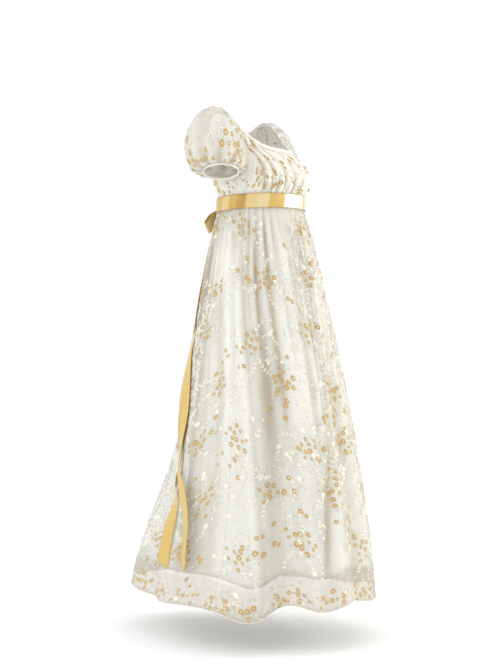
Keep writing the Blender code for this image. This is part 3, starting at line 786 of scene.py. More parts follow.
white_cotton, tree, shader = new_material("plain woven cotton tape", "#F4F3EE", 0.75, Sheen_Weight=0.2)
streaks = thread_streaks(tree, 0.0009, 0.0009)
woven_face(tree, shader, streaks, "#F8F7F3", "#EAE9E2", (0.35, 0.0003))

gold_satin, tree, shader = new_material(
    "woven gold satin ribbon", "#DBBB70", 0.30, Metallic=0.25, Anisotropic=0.4, Sheen_Weight=0.1
)
streaks = thread_streaks(tree, 0.0016, 0.008)
# AE883C is painted shade and #FCF4DC a painted highlight on the facets, near white where it stands for a
# reflection.
woven_face(tree, shader, streaks, "#DEC178", "#D2B060", (0.12, 0.0003), "#AE883C", "#FCF4DC")

# %% [markdown]
# Embroidery thread is twisted rayon laid side by side in satin stitch, so each motif is ribbed across
# and takes the light in soft bands. The gold one varies along its dye, and the cream one lies tone on
# tone with the organza. Sewing thread is plain and matt.
# %% Threads


def thread_material(name, light, shade, roughness, pitch=0.0007, dye_scale=38.0):
    """Rayon thread in satin stitch; pitch is the distance between threads, drawn twice its real size."""
    material, tree, shader = new_material(name, light, roughness, Sheen_Weight=0.05)
    place = add_node(tree, "ShaderNodeTexCoord").outputs["Object"]
    dye = add_node(tree, "ShaderNodeTexNoise", {"Vector": place, "Scale": dye_scale, "Detail": 2.0})
    mix = {0: dye.outputs["Fac"], 6: linear(shade), 7: linear(light)}
    tone = add_node(tree, "ShaderNodeMix", mix, data_type="RGBA").outputs[2]
    tree.links.new(tone, shader.inputs["Base Color"])
    laid = add_node(tree, "ShaderNodeTexNoise", {"Vector": place, "Scale": 1 / pitch / 3, "Detail": 1.0})
    relief = {"Height": laid.outputs["Fac"], "Strength": 0.3, "Distance": 0.0003}
    tree.links.new(add_node(tree, "ShaderNodeBump", relief).outputs[0], shader.inputs["Normal"])
    return material


gold_thread = thread_material("gold rayon embroidery thread", "#E5BF66", "#98722C", 0.36, dye_scale=140.0)
cream_thread = thread_material("cream rayon embroidery thread", "#F3F0E4", "#E6E1D0", 0.45)
dull_cream_thread = thread_material("dull cream rayon embroidery thread", "#CFCAB5", "#BAB59E", 0.5)
sewing_thread = thread_material("spun white sewing thread", "#F6F5F0", "#E9E7DF", 0.7)
print("finishes:", [m.name for m in (organza, satin_lining, white_cotton, gold_satin, gold_thread)])

# %% [markdown]
# ## Skirt and lining
# Two panels of organza meet at the side seams, and two of satin hang inside them and end higher. The
# columns of the grid lie two thirds of a degree apart, which leaves four points on the smallest crease.
# %% Build the skirt
ORGANZA_WALL = 0.0004
SATIN_WALL = 0.0006
SKIRT_LENGTH = 1.06
SKIRT_CUT_WAIST = 1.20
SKIRT_CUT_HEM = 2.04


def skirt_across(share):
    return (SKIRT_CUT_WAIST + (SKIRT_CUT_HEM - SKIRT_CUT_WAIST) * share) / 360.0


def lining_across(share):
    return (1.0 + 0.75 * share) / 360.0


# Depths at which the painted shade in a fold and the painted highlight on a crest are full. TONE_FADE takes
# some of both away lower down.
FULL_TONE_FOLD = 0.045
FULL_TONE_CREASE = 0.0055
FULL_TONE_GATHER = 0.0065
TONE_FADE = 0.62


def fold_shade_and_highlight(angle, drop):
    """0 is full painted shade, in the deepest folds; 0.5 is level cloth; 1 is full painted highlight, on the
    highest crests. It fades further down.
    """
    depth = fold_depth(angle, drop) / FULL_TONE_FOLD
    depth = depth + crease_depth(SKIRT_CREASES, angle, drop) / FULL_TONE_CREASE
    depth = depth * (1.0 - TONE_FADE * smooth_step((drop - 0.35) / 0.40))
    return np.clip(0.5 + 0.5 * (depth + skirt_gather(angle, drop) / FULL_TONE_GATHER), 0.0, 1.0)


# The lining takes the skirt's painted shade and highlight at its own height.
def lining_shade_and_highlight(angle, drop):
    return fold_shade_and_highlight(angle, drop * LINING_SHARE)


SKIRT = Panel("skirt", skirt_point, skirt_across, SKIRT_LENGTH)
LINING = Panel("lining", lining_point, lining_across, SKIRT_LENGTH * LINING_SHARE)
skirt_shares = np.concatenate([np.linspace(0.0, 0.2, 32)[:-1], np.linspace(0.2, 1.0, 65)])
lining_shares = np.linspace(0.004, 1.0, 60)
for side, start in (("front", -90), ("back", 90)):
    skirt = panel_grid(
        SKIRT._replace(name=f"organza_skirt_{side}"),
        np.linspace(start, start + 180, 271),
        skirt_shares,
        ORGANZA_WALL,
        fold=fold_shade_and_highlight,
    )
    finish_panel(f"skirt_{side}", skirt, organza, "organza")
    lining = panel_grid(
        LINING._replace(name=f"satin_lining_{side}"),
        np.linspace(start + 0.06, start + 179.94, 151),
        lining_shares,
        SATIN_WALL,
        fold=lining_shade_and_highlight,
    )
    finish_panel(f"lining_{side}", lining, satin_lining, "lining")
print("skirt panel:", len(panels["skirt_front"].data.polygons), "faces")

# %% [markdown]
# ## Bodice and neck casing
# The bodice panels are gathered on to the sash below and into a narrow white casing above. The
# columns crowd towards the armhole's corners, where the edge is steep.
# %% Build the bodice and casing
BODICE_WALL = 0.0010
BODICE_LENGTH = 0.17
BODICE_ACROSS = even(0.0031)
FULL_TONE_PLEAT = 0.0042


def bodice_shade_and_highlight(angle, down):
    """Painted shade between the gathers and a painted highlight along their tops, as on the skirt."""
    share = 1.0 - down
    depth = (bodice_gather(angle, share) + bodice_creases(angle, down)) / FULL_TONE_PLEAT
    return np.clip(0.52 + 0.38 * depth, 0.0, 1.0)


BODICE = Panel("bodice", lambda angle, down: bodice_point(angle, 1.0 - down), BODICE_ACROSS, BODICE_LENGTH)
corner = ARMHOLE_CENTRE - ARMHOLE_SPREAD
back_corner = ARMHOLE_CENTRE + ARMHOLE_SPREAD


def armhole_angles(start, end, steps):
    return ARMHOLE_CENTRE - ARMHOLE_SPREAD * sine(np.linspace(start, end, steps))


side_front = armhole_angles(89.5, 0.15, 26)
front_angles = np.concatenate([-side_front[::-1], np.linspace(-corner + 0.4, corner - 0.4, 249), side_front])
side_back = armhole_angles(-0.15, -89.5, 26)
back_angles = np.concatenate(
    [side_back, np.linspace(back_corner + 0.4, 360 - back_corner - 0.4, 221), 360 - side_back[::-1]]
)
for side, angles in (("front", front_angles), ("back", back_angles)):
    bodice = panel_grid(
        BODICE._replace(name=f"organza_bodice_{side}"),
        angles,
        np.linspace(0.0, 1.0, 41),
        BODICE_WALL,
        fold=bodice_shade_and_highlight,
    )
    finish_panel(f"bodice_{side}", bodice, bodice_organza, "organza")

CASING = Panel(
    "gathered_neck_casing", lambda angle, down: casing_point(angle, 1.0 - down), BODICE_ACROSS, CASING_HEIGHT
)
casing = panel_grid(CASING, np.linspace(0, 360, 601), np.linspace(0.0, 1.0, 7), 0.0011, closed=True)
finish_panel("neck_casing", casing, white_cotton, "white_band")
print("bodice front:", len(panels["bodice_front"].data.polygons), "faces")

# %% [markdown]
# ## Puff sleeves and their cuffs
# The puff is gathered at the armhole and again at the narrow white cuff, and droops over it behind.
# %% Build the sleeves
SLEEVE_LENGTH = 0.15
SLEEVE_ACROSS = even(0.0016)


def sleeve_shade_and_highlight(angle, share):
    """Painted shade between the gathers and a painted highlight on them, fading towards the middle of the
    puff.
    """
    near_ends = bump(share, 0.22) + bump(share - 1.0, 0.22)
    return 0.5 + 0.34 * near_ends * sine(SLEEVE_GATHERS * angle)


PUFF, CUFF = {}, {}
for side in ("left", "right"):
    puff = Panel(f"organza_sleeve_{side}", on_arm(side, sleeve_point), SLEEVE_ACROSS, SLEEVE_LENGTH)
    PUFF[side] = puff
    sleeve = panel_grid(
        puff, np.linspace(0, 360, 221), np.linspace(0.0, 1.0, 37), ORGANZA_WALL, closed=True, fold=sleeve_shade_and_highlight
    )
    finish_panel(f"sleeve_{side}", sleeve, sleeve_organza, "organza")

    def cuff_shape(side, turn, share):
        return cuff_point(side, turn, CUFF_GAP + CUFF_HEIGHT * share)[0]

    band = Panel(f"cotton_cuff_{side}", on_arm(side, cuff_shape), SLEEVE_ACROSS, CUFF_HEIGHT)
    CUFF[side] = band
    cuff = panel_grid(band, np.linspace(0, 360, 97), np.linspace(0.0, 1.0, 4), 0.0014, closed=True)
    finish_panel(f"cuff_{side}", cuff, white_cotton, "white_band")
print("sleeve:", len(panels["sleeve_left"].data.polygons), "faces")

# %% [markdown]
# ## Sash, bow and tails
# The sash is one gold satin ribbon drawn round the raised waist and tied behind. It follows the
# gathers under it, so it lies in shallow facets, and each facet carries its own painted tone, from
# painted shade to a painted highlight. The two ends run down the back and drift to one side, and
# each turns over on itself on the way.
# %% Build the sash
RIBBON_WALL = 0.0004
FACET_DEPTH = 0.0005


def sash_point(angle, down):
    place, outward = oval_point(angle, *BODICE_SECTIONS[0][1:], waist_height(angle))
    facets = FACET_DEPTH * np.sin(np.radians(13 * angle + 40 * sine(3 * angle)) + 1.5 * down)
    crown = FACET_DEPTH * np.sin(np.pi * down)
    offset = SASH_STAND_OFF + RIBBON_WALL + facets + crown
    lift = point_array(0.0, 0.0, SASH_WIDTH * (0.5 - down) + 0.0 * angle)
    return place + lift + outward * offset[..., None]


# Taut ribbon breaks into flat facets over the gathers. Each row is one facet's edge and its painted tone: low
# is painted shade, high a painted highlight, and the brightest a painted reflection.
SASH_PAINTED_FACETS = table(
    "angle tone",
    (-180, 0.4), (-158, 0.66), (-141, 0.3), (-118, 0.58), (-103, 0.28), (-92, 0.06), (-79, 0.6),
    (-64, 0.68), (-49, 0.36), (-28, 1.0), (9, 0.52), (18, 0.76), (31, 0.26), (52, 0.62), (70, 0.36),
    (93, 0.74), (112, 0.28), (134, 0.6), (156, 0.34), (172, 0.4),
)


def sash_facet_shade_and_highlight(angle, down):
    """The painted shade and highlight of the facet at this angle, with edges that slant a little across the
    ribbon.
    """
    place = angle_between(angle, 0.0) + 3.0 * (down - 0.5)
    tone = SASH_PAINTED_FACETS[0].tone + 0.0 * place
    for before, facet in zip(SASH_PAINTED_FACETS, SASH_PAINTED_FACETS[1:]):
        tone = tone + (facet.tone - before.tone) * smooth_step((place - facet.angle) / 5.0 + 0.5)
    return np.clip(tone, 0.0, 1.0)


SASH = Panel("satin_sash", sash_point, even(0.0021), SASH_WIDTH)
sash = panel_grid(
    SASH,
    np.linspace(0, 360, 541),
    np.linspace(0, 1, 11),
    RIBBON_WALL,
    closed=True,
    outward=True,
    fold=sash_facet_shade_and_highlight,
)
finish_panel("sash_band", sash, gold_satin, "gold_satin")


def knot_centre():
    place, outward = oval_point(180.0, *BODICE_SECTIONS[0][1:], waist_height(180.0) - 0.004)
    return place + outward * (SASH_STAND_OFF + 0.0011 + SEAM_GAP)


KNOT_SIZE = (0.024, 0.015, 0.034)
knot_mesh = bpy.data.meshes.new("satin_bow_knot")
edit = bmesh.new()
bmesh.ops.create_cube(edit, size=2.0)
bmesh.ops.subdivide_edges(edit, edges=edit.edges[:], cuts=13, use_grid_fill=True)
for vertex in edit.verts:
    x, y, z = vertex.co
    rounded = (abs(x) ** 4 + abs(y) ** 4 + abs(z) ** 4) ** -0.25
    pleat = 1.0 - 0.07 * abs(math.sin(3.2 * math.pi * x + 0.8 * z)) * (1 - 0.5 * z * z)
    pinch = 1.0 - 0.12 * (1 - z * z)
    shape = Vector((x * rounded * pinch, y * rounded * pleat, z * rounded))
    vertex.co = Vector([part * size / 2 for part, size in zip(shape, KNOT_SIZE)])
    vertex.co += Vector(knot_centre()) + Vector((0.0, KNOT_SIZE[1] / 2, 0.0))
ribbon_map = edit.loops.layers.uv.new("Cloth")
for face in edit.faces:
    for loop in face.loops:
        loop[ribbon_map].uv = (loop.vert.co.x, loop.vert.co.z)
edit.to_mesh(knot_mesh)
edit.free()
knot_mesh.shade_smooth()
# Painted shade in the knot's pleats and a painted highlight on their tops.
pleats = [math.sin(3.2 * math.pi * vertex.co.x / KNOT_SIZE[0] * 2) for vertex in knot_mesh.vertices]
knot_painted_pleats = [LEVEL_TONE + 0.3 * pleat for pleat in pleats]
knot_mesh.attributes.new("fold", "FLOAT", "POINT").data.foreach_set("value", knot_painted_pleats)
knot = finish_piece(
    bpy.data.objects.new("satin_bow_knot", knot_mesh), gold_satin, "bow_knot", slot="gold_satin"
)

# %% Build the bow loops and the tails
# The bow loops are painted a little toward the highlight colour all over: a painted highlight that lifts them
# out of their shade.
LOOP_PAINTED_LIGHT = 0.62


def loop_point(side, turn, across):
    """A drooping bow loop: turn runs from the knot out along the body, round the tip and back."""
    reach = unit(np.array([side * 0.70, 0.12, -0.70]))
    stem = knot_centre() + np.array([side * 0.0124, -0.0025, -0.002])
    out = 0.5 - 0.5 * np.cos(turn)
    spread = smooth_step(out * 2.5)
    width_way = point_array(side * 0.70 * spread, 0.0, 1.0 - 0.30 * spread)
    swell = np.sin(turn) * out**0.35
    width = LOOP_WIDTH * (0.42 + 0.58 * smooth_step(out * 1.8))
    opening = LOOP_OPENING * (0.5 - 0.5 * swell) + 0.0038 * np.cos(turn / 2)
    pleats = 0.0011 * np.sin(5.2 * np.pi * across + 0.6) * (1.0 - smooth_step((out - 0.15) / 0.6))
    bow_out = 0.0012 * np.cos(np.pi * across) * np.sin(np.pi * out)
    depth = point_array(0.0, opening + pleats + bow_out, 0.0)
    return stem + reach * (LOOP_LENGTH * out)[..., None] + depth + width_way * (width * across)[..., None]


for side, word in ((1, "left"), (-1, "right")):
    across, turn = np.meshgrid(np.linspace(-0.5, 0.5, 17), np.linspace(0.02, 1.98, 65) * np.pi)
    place = loop_point(side, turn, side * across)
    uv = np.stack([across * LOOP_WIDTH, turn * LOOP_LENGTH / np.pi], axis=-1)
    loop = cloth_grid(f"satin_bow_loop_{word}", place, uv, TAIL_WALL, fold=LOOP_PAINTED_LIGHT)
    finish_panel(f"bow_loop_{word}", loop, gold_satin, "gold_satin")


def tail_point(name, drop, across):
    """A sash tail lies on the skirt: it is made from the skirt's points, moved out."""
    path = TAIL_PATHS[name]
    angle = along(path, drop, "angle")
    tilt = np.radians(along(path, drop, "tilt"))
    per_degree = np.linalg.norm(skirt_oval(angle + 1, drop)[0] - skirt_oval(angle - 1, drop)[0], axis=-1) / 2
    width = TAIL_WIDTH * (0.55 + 0.45 * smooth_step((drop - 0.03) / 0.10))
    angle = angle + width * across * np.cos(tilt) / per_degree
    place, outward = skirt_oval(angle, drop)
    wave = SKIRT_WAVE * (1.0 - smooth_step((drop - 0.05) / GATHER_REACH))
    lift = TAIL_STAND_OFF + along(path, drop, "stand_off")
    lift = lift + width * (0.5 * np.abs(np.sin(tilt)) - across * np.sin(tilt))
    lift = lift + 0.0008 * np.sin(31 * drop + 2.0 * across) + 0.0010 * np.abs(across) * np.sin(17 * drop)
    swell = fold_depth(angle, drop) + stride(angle, drop)
    return place + outward * (swell + wave + lift)[..., None]


END_SLANT = 0.016


def slant_end(drop, across):
    """Moves the places near a tail's end, which is cut on the slant."""
    return drop - END_SLANT * (0.5 - across) * smooth_step((drop - 0.80) / (TAIL_END - 0.80))


for name in TAIL_PATHS:
    drops = np.concatenate([np.linspace(TAIL_START, 0.08, 12)[:-1], np.linspace(0.08, TAIL_END, 130)])
    across, drop = np.meshgrid(np.linspace(-0.5, 0.5, 11), drops)
    drop = slant_end(drop, across)
    place = tail_point(name, drop, across)
    uv = np.stack([across * TAIL_WIDTH, drop * SKIRT_LENGTH], axis=-1)
    tail = cloth_grid(name.replace("sash", "satin"), place, uv, TAIL_WALL, outward=True)
    finish_panel(name, tail, gold_satin, "gold_satin")
print("sash tails:", len(panels["sash_tail_left"].data.polygons), "faces each")

# %% [markdown]
# ## Embroidery, worked flat
# The organza is embroidered before it is cut: small gold blossoms in loose bunches, and cream sprigs
# with leaves. The same order is easiest here. Geometry Nodes set each motif on points of the flat
# cloth, turned and sized by two attributes, and the flat work is then laid on the hung cloth, so that
# it follows every fold. x is metres round the cloth, y metres down it, and z the height of the thread.
# %% Node trees for motifs and for stems


def node_tree(name, *sockets):
    """A Geometry Nodes tree with these named inputs, and the outputs that give them."""
    tree = bpy.data.node_groups.new(name, "GeometryNodeTree")
    for label, kind, value in (("Geometry", "Geometry", None), *sockets, ("Material", "Material", None)):
        socket = tree.interface.new_socket(label, in_out="INPUT", socket_type=f"NodeSocket{kind}")
        if value is not None:
            socket.default_value = value
    tree.interface.new_socket("Geometry", in_out="OUTPUT", socket_type="NodeSocketGeometry")
    return tree, tree.nodes.new("NodeGroupInput").outputs


def end_tree(tree, given, made):
    """Realizes the instances, sets the material and closes the tree."""
    real = add_node(tree, "GeometryNodeRealizeInstances", {"Geometry": made})
    painted = add_node(tree, "GeometryNodeSetMaterial", {"Geometry": real, "Material": given["Material"]})
    add_node(tree, "NodeGroupOutput", {"Geometry": painted})
    return tree


def motif_tree():
    """Sets a motif on every point, turned and sized by the point's own attributes."""
    tree, given = node_tree("set motifs on cloth", ("Motif", "Object", None))
    motif = add_node(tree, "GeometryNodeObjectInfo", {"Object": given["Motif"]}).outputs["Geometry"]
    spin, size = (
        add_node(tree, "GeometryNodeInputNamedAttribute", {"Name": label}, data_type="FLOAT")
        for label in ("spin", "size")
    )
    turned = add_node(tree, "ShaderNodeCombineXYZ", {"Z": spin})
    rotation = add_node(tree, "FunctionNodeEulerToRotation", {0: turned})
    where = {"Points": given["Geometry"], "Instance": motif, "Rotation": rotation, "Scale": size}
    return end_tree(tree, given, add_node(tree, "GeometryNodeInstanceOnPoints", where))


def cord_tree():
    """Draws a round cord along every chain of edges."""
    tree, given = node_tree("thread along a path", ("Radius", "Float", 0.0004), ("Sides", "Int", 5))
    path = add_node(tree, "GeometryNodeMeshToCurve", {"Mesh": given["Geometry"]})
    ring = {"Resolution": given["Sides"], "Radius": given["Radius"]}
    profile = add_node(tree, "GeometryNodeCurvePrimitiveCircle", ring)
    swept = {"Curve": path, "Profile Curve": profile, "Fill Caps": True}
    tube = add_node(tree, "GeometryNodeCurveToMesh", swept)
    return end_tree(tree, given, add_node(tree, "GeometryNodeSetShadeSmooth", {"Geometry": tube}))


def stitch_tree():
    """Sets a small long stitch at every step of a path."""
    sizes = (("Spacing", "Float", 0.0035), ("Length", "Float", 0.0024), ("Radius", "Float", 0.0003))
    tree, given = node_tree("stitches along a path", *sizes)
    path = add_node(tree, "GeometryNodeMeshToCurve", {"Mesh": given["Geometry"]})
    steps = {"Curve": path, "Length": given["Spacing"]}
    spaced = add_node(tree, "GeometryNodeCurveToPoints", steps, mode="LENGTH")
    ball = {"Segments": 5, "Rings": 4, "Radius": given["Radius"]}
    stitch = add_node(tree, "GeometryNodeMeshUVSphere", ball)
    longer = add_node(tree, "ShaderNodeMath", {0: given["Length"], 1: given["Radius"]}, operation="DIVIDE")
    half = add_node(tree, "ShaderNodeMath", {0: longer, 1: 0.5}, operation="MULTIPLY")
    stretch = add_node(tree, "ShaderNodeCombineXYZ", {"X": 1.0, "Y": 1.0, "Z": half})
    drawn = add_node(tree, "GeometryNodeTransform", {"Geometry": stitch, "Scale": stretch})
    where = {"Points": spaced, "Instance": drawn, "Rotation": spaced.outputs["Rotation"]}
    return end_tree(tree, given, add_node(tree, "GeometryNodeInstanceOnPoints", where))


MOTIFS, CORD, STITCHES = motif_tree(), cord_tree(), stitch_tree()


def run_tree(name, mesh, tree, **values):
    """Runs a tree on a mesh of points or edges and returns the plain mesh that it makes."""
    helper = bpy.data.objects.new(name, mesh)
    bpy.context.scene.collection.objects.link(helper)
    modifier = helper.modifiers.new(tree.name, "NODES")
    modifier.node_group = tree
    for item in tree.interface.items_tree:
        label = item.name.replace(" ", "_")
        if item.in_out == "INPUT" and label in values:
            modifier[item.identifier] = values[label]
    depsgraph = bpy.context.evaluated_depsgraph_get()
    made = bpy.data.meshes.new_from_object(helper.evaluated_get(depsgraph), depsgraph=depsgraph)
    bpy.data.objects.remove(helper)
    made.name = name
    return made


# %% [markdown]
# A blossom is a ring of five rounded petals worked in satin stitch round a small open eye, and a leaf
# is a pointed oval with a raised rib. Each is a few dozen faces, because they repeat by the hundred.
# %% One blossom and one leaf
BLOSSOM_WIDTH = 0.0148
LEAF_LENGTH = 0.0098
THREAD_HEIGHT = 0.0008
STEM_RADIUS = 0.0006
STEM_HEIGHT = 0.0003
MOTIF_LIFT = 0.0002


def motif_object(name, rings, closed=True):
    """Rings of points, from the outside in, become a small domed motif."""
    rings = np.array(rings)
    count, steps = rings.shape[:2]
    index = np.arange(count * steps).reshape(count, steps)
    faces = []
    for outer, inner in zip(index, index[1:]):
        for step in range(steps):
            after = (step + 1) % steps
            faces.append([outer[step], outer[after], inner[after], inner[step]])
    if closed:
        faces.append(list(index[-1]))
    mesh = bpy.data.meshes.new(name)
    mesh.from_pydata(rings.reshape(-1, 3).tolist(), [], [[int(i) for i in face] for face in faces])
    mesh.shade_smooth()
    obj = bpy.data.objects.new(name, mesh)
    bpy.context.scene.collection.objects.link(obj)
    return obj


def petal_rings(rows):
    """Rings of a five-petalled flower: each row is a radius, a height and how deep its lobes are."""
    turns = np.linspace(0, 2 * np.pi, 16)[:-1]
    lobes = 0.72 + 0.28 * np.abs(np.cos(2.5 * turns))
    rings = []
    for radius, height, lobed in rows:
        outline = BLOSSOM_WIDTH / 2 * radius * (1 - lobed + lobed * lobes)
        rings.append(point_array(outline * np.cos(turns), outline * np.sin(turns), THREAD_HEIGHT * height))
    return rings


BLOSSOM_RINGS = ((1.0, 0.0, 1.0), (0.78, 1.0, 0.9), (0.48, 0.8, 0.4), (0.38, 0.0, 0.2))
ROSETTE_RINGS = ((1.0, 0.0, 1.0), (0.72, 1.0, 0.9), (0.22, 0.5, 0.2))
blossom = motif_object("blossom_motif", petal_rings(BLOSSOM_RINGS), closed=False)
rosette = motif_object("rosette_motif", petal_rings(ROSETTE_RINGS))

leaf_turns = np.linspace(0, 2 * np.pi, 9)[:-1]
leaf_rings = []
for radius, height in ((1.0, 0.0), (0.55, 1.0)):
    x = 0.21 * LEAF_LENGTH * radius * np.sin(leaf_turns) * (1.0 + 0.25 * np.cos(leaf_turns))
    y = LEAF_LENGTH * (0.5 - 0.5 * radius * np.cos(leaf_turns))
    leaf_rings.append(point_array(x, y, THREAD_HEIGHT * height)[::-1])
leaf = motif_object("leaf_motif", leaf_rings)
print("blossom", len(blossom.data.polygons), "faces; leaf", len(leaf.data.polygons), "faces")

# %% [markdown]
# ## Where the sprays go
# The repeat of such a cloth is a spray: a bunch of blossoms that trails off, with cream sprigs beside
# it. Sprays stand in staggered rows with a little unevenness from a fixed seed, so the layout has the
# scale and spread of woven repeats and the same result each time.
# %% Lay out the sprays
STEM_TOP = 0.008


def away_from(x, y, way, reach):
    """The place at this reach from x, y in the direction way."""
    return x + reach * math.cos(way), y + reach * math.sin(way)


class Layout:
    """Collects motifs and stems in metres of flat cloth. A motif is its x, y, spin and size."""

    def __init__(self, seed):
        self.rng = np.random.default_rng(seed)
        self.blossoms, self.rosettes, self.leaves, self.shadow_leaves, self.stems = [], [], [], [], []

    def bunch(self, x, y, count, heading, spacing=0.0102):
        """Blossoms that crowd in a bunch, with the last third trailing off towards the heading."""
        crowd = max(1, round(count * 0.66))
        for number in range(count):
            if number < crowd:
                reach, way = spacing * math.sqrt(number + 0.4), heading + 2.4 * number
            else:
                reach = spacing * (math.sqrt(crowd) + 1.35 * (number - crowd + 0.7))
                way = heading + 0.42 * math.sin(1.9 * number)
            jitter = self.rng.normal(0.0, 0.0018, 2)
            place = [at + by for at, by in zip(away_from(x, y, way, reach), jitter)]
            self.blossoms.append((*place, self.rng.uniform(0, 6.28), self.rng.uniform(0.62, 1.12)))

    def sprig(self, x, y, heading, length, pairs):
        """A bowed cream stem with pairs of leaves, and a leaf or a rosette at its tip."""
        bend = self.rng.choice([-1, 1]) * self.rng.uniform(8, 20)
        points, step = [(x, y)], length / 10
        for number in range(10):
            way = heading + bend * step * number
            x, y = away_from(x, y, way, step)
            points.append((x, y))
            if number % 2 and number // 2 < pairs:
                for turn in (0.75, -0.75):
                    self.leaves.append((x, y, way + turn - math.pi / 2, self.rng.uniform(0.6, 1.1)))
        if self.rng.uniform() < 0.35:
            self.rosettes.append((x, y, way, self.rng.uniform(0.7, 1.15)))
        else:
            self.leaves.append((x, y, way - math.pi / 2, 1.0))
        self.stems.append(points)

    def foliage(self, x, y, count, inner, outer):
        """Small leaves in a duller cream, scattered round a place."""
        for number in range(count):
            way, reach = self.rng.uniform(0, 6.28), self.rng.uniform(inner, outer)
            spin, leaf_size = self.rng.uniform(0, 6.28), self.rng.uniform(0.5, 0.9)
            self.shadow_leaves.append((*away_from(x, y, way, reach), spin, leaf_size))

    def spray(self, x, y, blossoms=(10, 20), sprigs=5, size=1.0):
        heading = self.rng.uniform(0, 6.28)
        self.bunch(x, y, int(self.rng.integers(*blossoms)), heading)
        for number in range(sprigs):
            way = heading + 1.5 + number * 4.9 / sprigs + self.rng.uniform(-0.25, 0.25)
            start = away_from(x, y, way, (0.022 + 0.003 * number) * size)
            turned = way + self.rng.uniform(-0.5, 0.5)
            length = self.rng.uniform(0.040, 0.072) * size
            self.sprig(*start, turned, length, int(self.rng.integers(3, 6)))
        self.foliage(x, y, round(26 * size), 0.024 * size, 0.090 * size)
        for number in range(5):
            way, reach = self.rng.uniform(0, 6.28), self.rng.uniform(0.03, 0.08) * size
            self.rosettes.append((*away_from(x, y, way, reach), way, self.rng.uniform(0.3, 0.85)))

    def keep_inside(self, top, bottom):
        """Drops the motifs and stems that would run off the cloth's edges."""
        for rows in (self.blossoms, self.leaves, self.shadow_leaves, self.rosettes):
            rows[:] = [row for row in rows if top < row[1] < bottom]
        self.stems = [path for path in self.stems if all(STEM_TOP < y < bottom for x, y in path)]


def on_panel(panel, angle, share, lift):
    """Points on a panel's face, lifted off it."""
    round_it = panel.point(angle + 0.15, share) - panel.point(angle - 0.15, share)
    down = panel.point(angle, share + 0.001) - panel.point(angle, share - 0.001)
    outward = unit(np.cross(down, round_it))
    return panel.point(angle, share) + outward * (lift + 0.0 * share)[..., None]


def lay_on(panel, mesh, lift):
    """Lays flat work on the hung cloth, with its threads standing out from the cloth's face."""
    flat = np.empty(len(mesh.vertices) * 3)
    mesh.vertices.foreach_get("co", flat)
    flat = flat.reshape(-1, 3)
    share = flat[:, 1] / panel.length
    place = on_panel(panel, flat[:, 0] / panel.across(share), share, flat[:, 2] + lift)
    mesh.vertices.foreach_set("co", place.ravel())
    mesh.flip_normals()
    mesh.update()


def point_mesh(name, rows):
    """Loose points with the two attributes that turn and size a motif."""
    rows = np.array(rows)
    mesh = bpy.data.meshes.new(name)
    mesh.from_pydata([(x, y, 0.0) for x, y in rows[:, :2].tolist()], [], [])
    for column, label in ((2, "spin"), (3, "size")):
        values = rows[:, column].astype(np.float32)
        mesh.attributes.new(label, "FLOAT", "POINT").data.foreach_set("value", values)
    return mesh


def path_mesh(name, paths, height=0.0, closed=False):
    """Chains of points as edges, for a tree that follows them."""
    points, edges = [], []
    for path in paths:
        first = len(points)
        points += [(*point[:2], height) if len(point) == 2 else tuple(point) for point in path]
        edges += [(k, k + 1) for k in range(first, len(points) - 1)]
        if closed:
            edges.append((len(points) - 1, first))
    mesh = bpy.data.meshes.new(name)
    mesh.from_pydata(points, edges, [])
    return mesh


def embroider(prefix, panel, layout):
    """Makes a layout's motifs and stems, and lays them on a panel."""
    pieces = []
    for word, rows, motif, thread in (
        ("gold_blossoms", layout.blossoms, blossom, gold_thread),
        ("cream_rosettes", layout.rosettes, rosette, cream_thread),
        ("cream_leaves", layout.leaves, leaf, cream_thread),
        ("dull_cream_leaves", layout.shadow_leaves, leaf, dull_cream_thread),
        ("cream_stems", layout.stems, None, cream_thread),
    ):
        if not rows:
            continue
        name = f"{prefix}_{word}"
        if motif:
            mesh = run_tree(name, point_mesh(name, rows), MOTIFS, Motif=motif, Material=thread)
        else:
            mesh = run_tree(
                name, path_mesh(name, rows, STEM_HEIGHT), CORD, Radius=STEM_RADIUS, Sides=4, Material=thread
            )
        lay_on(panel, mesh, MOTIF_LIFT)
        pieces.append(finish_piece(bpy.data.objects.new(name, mesh), thread))
    return pieces


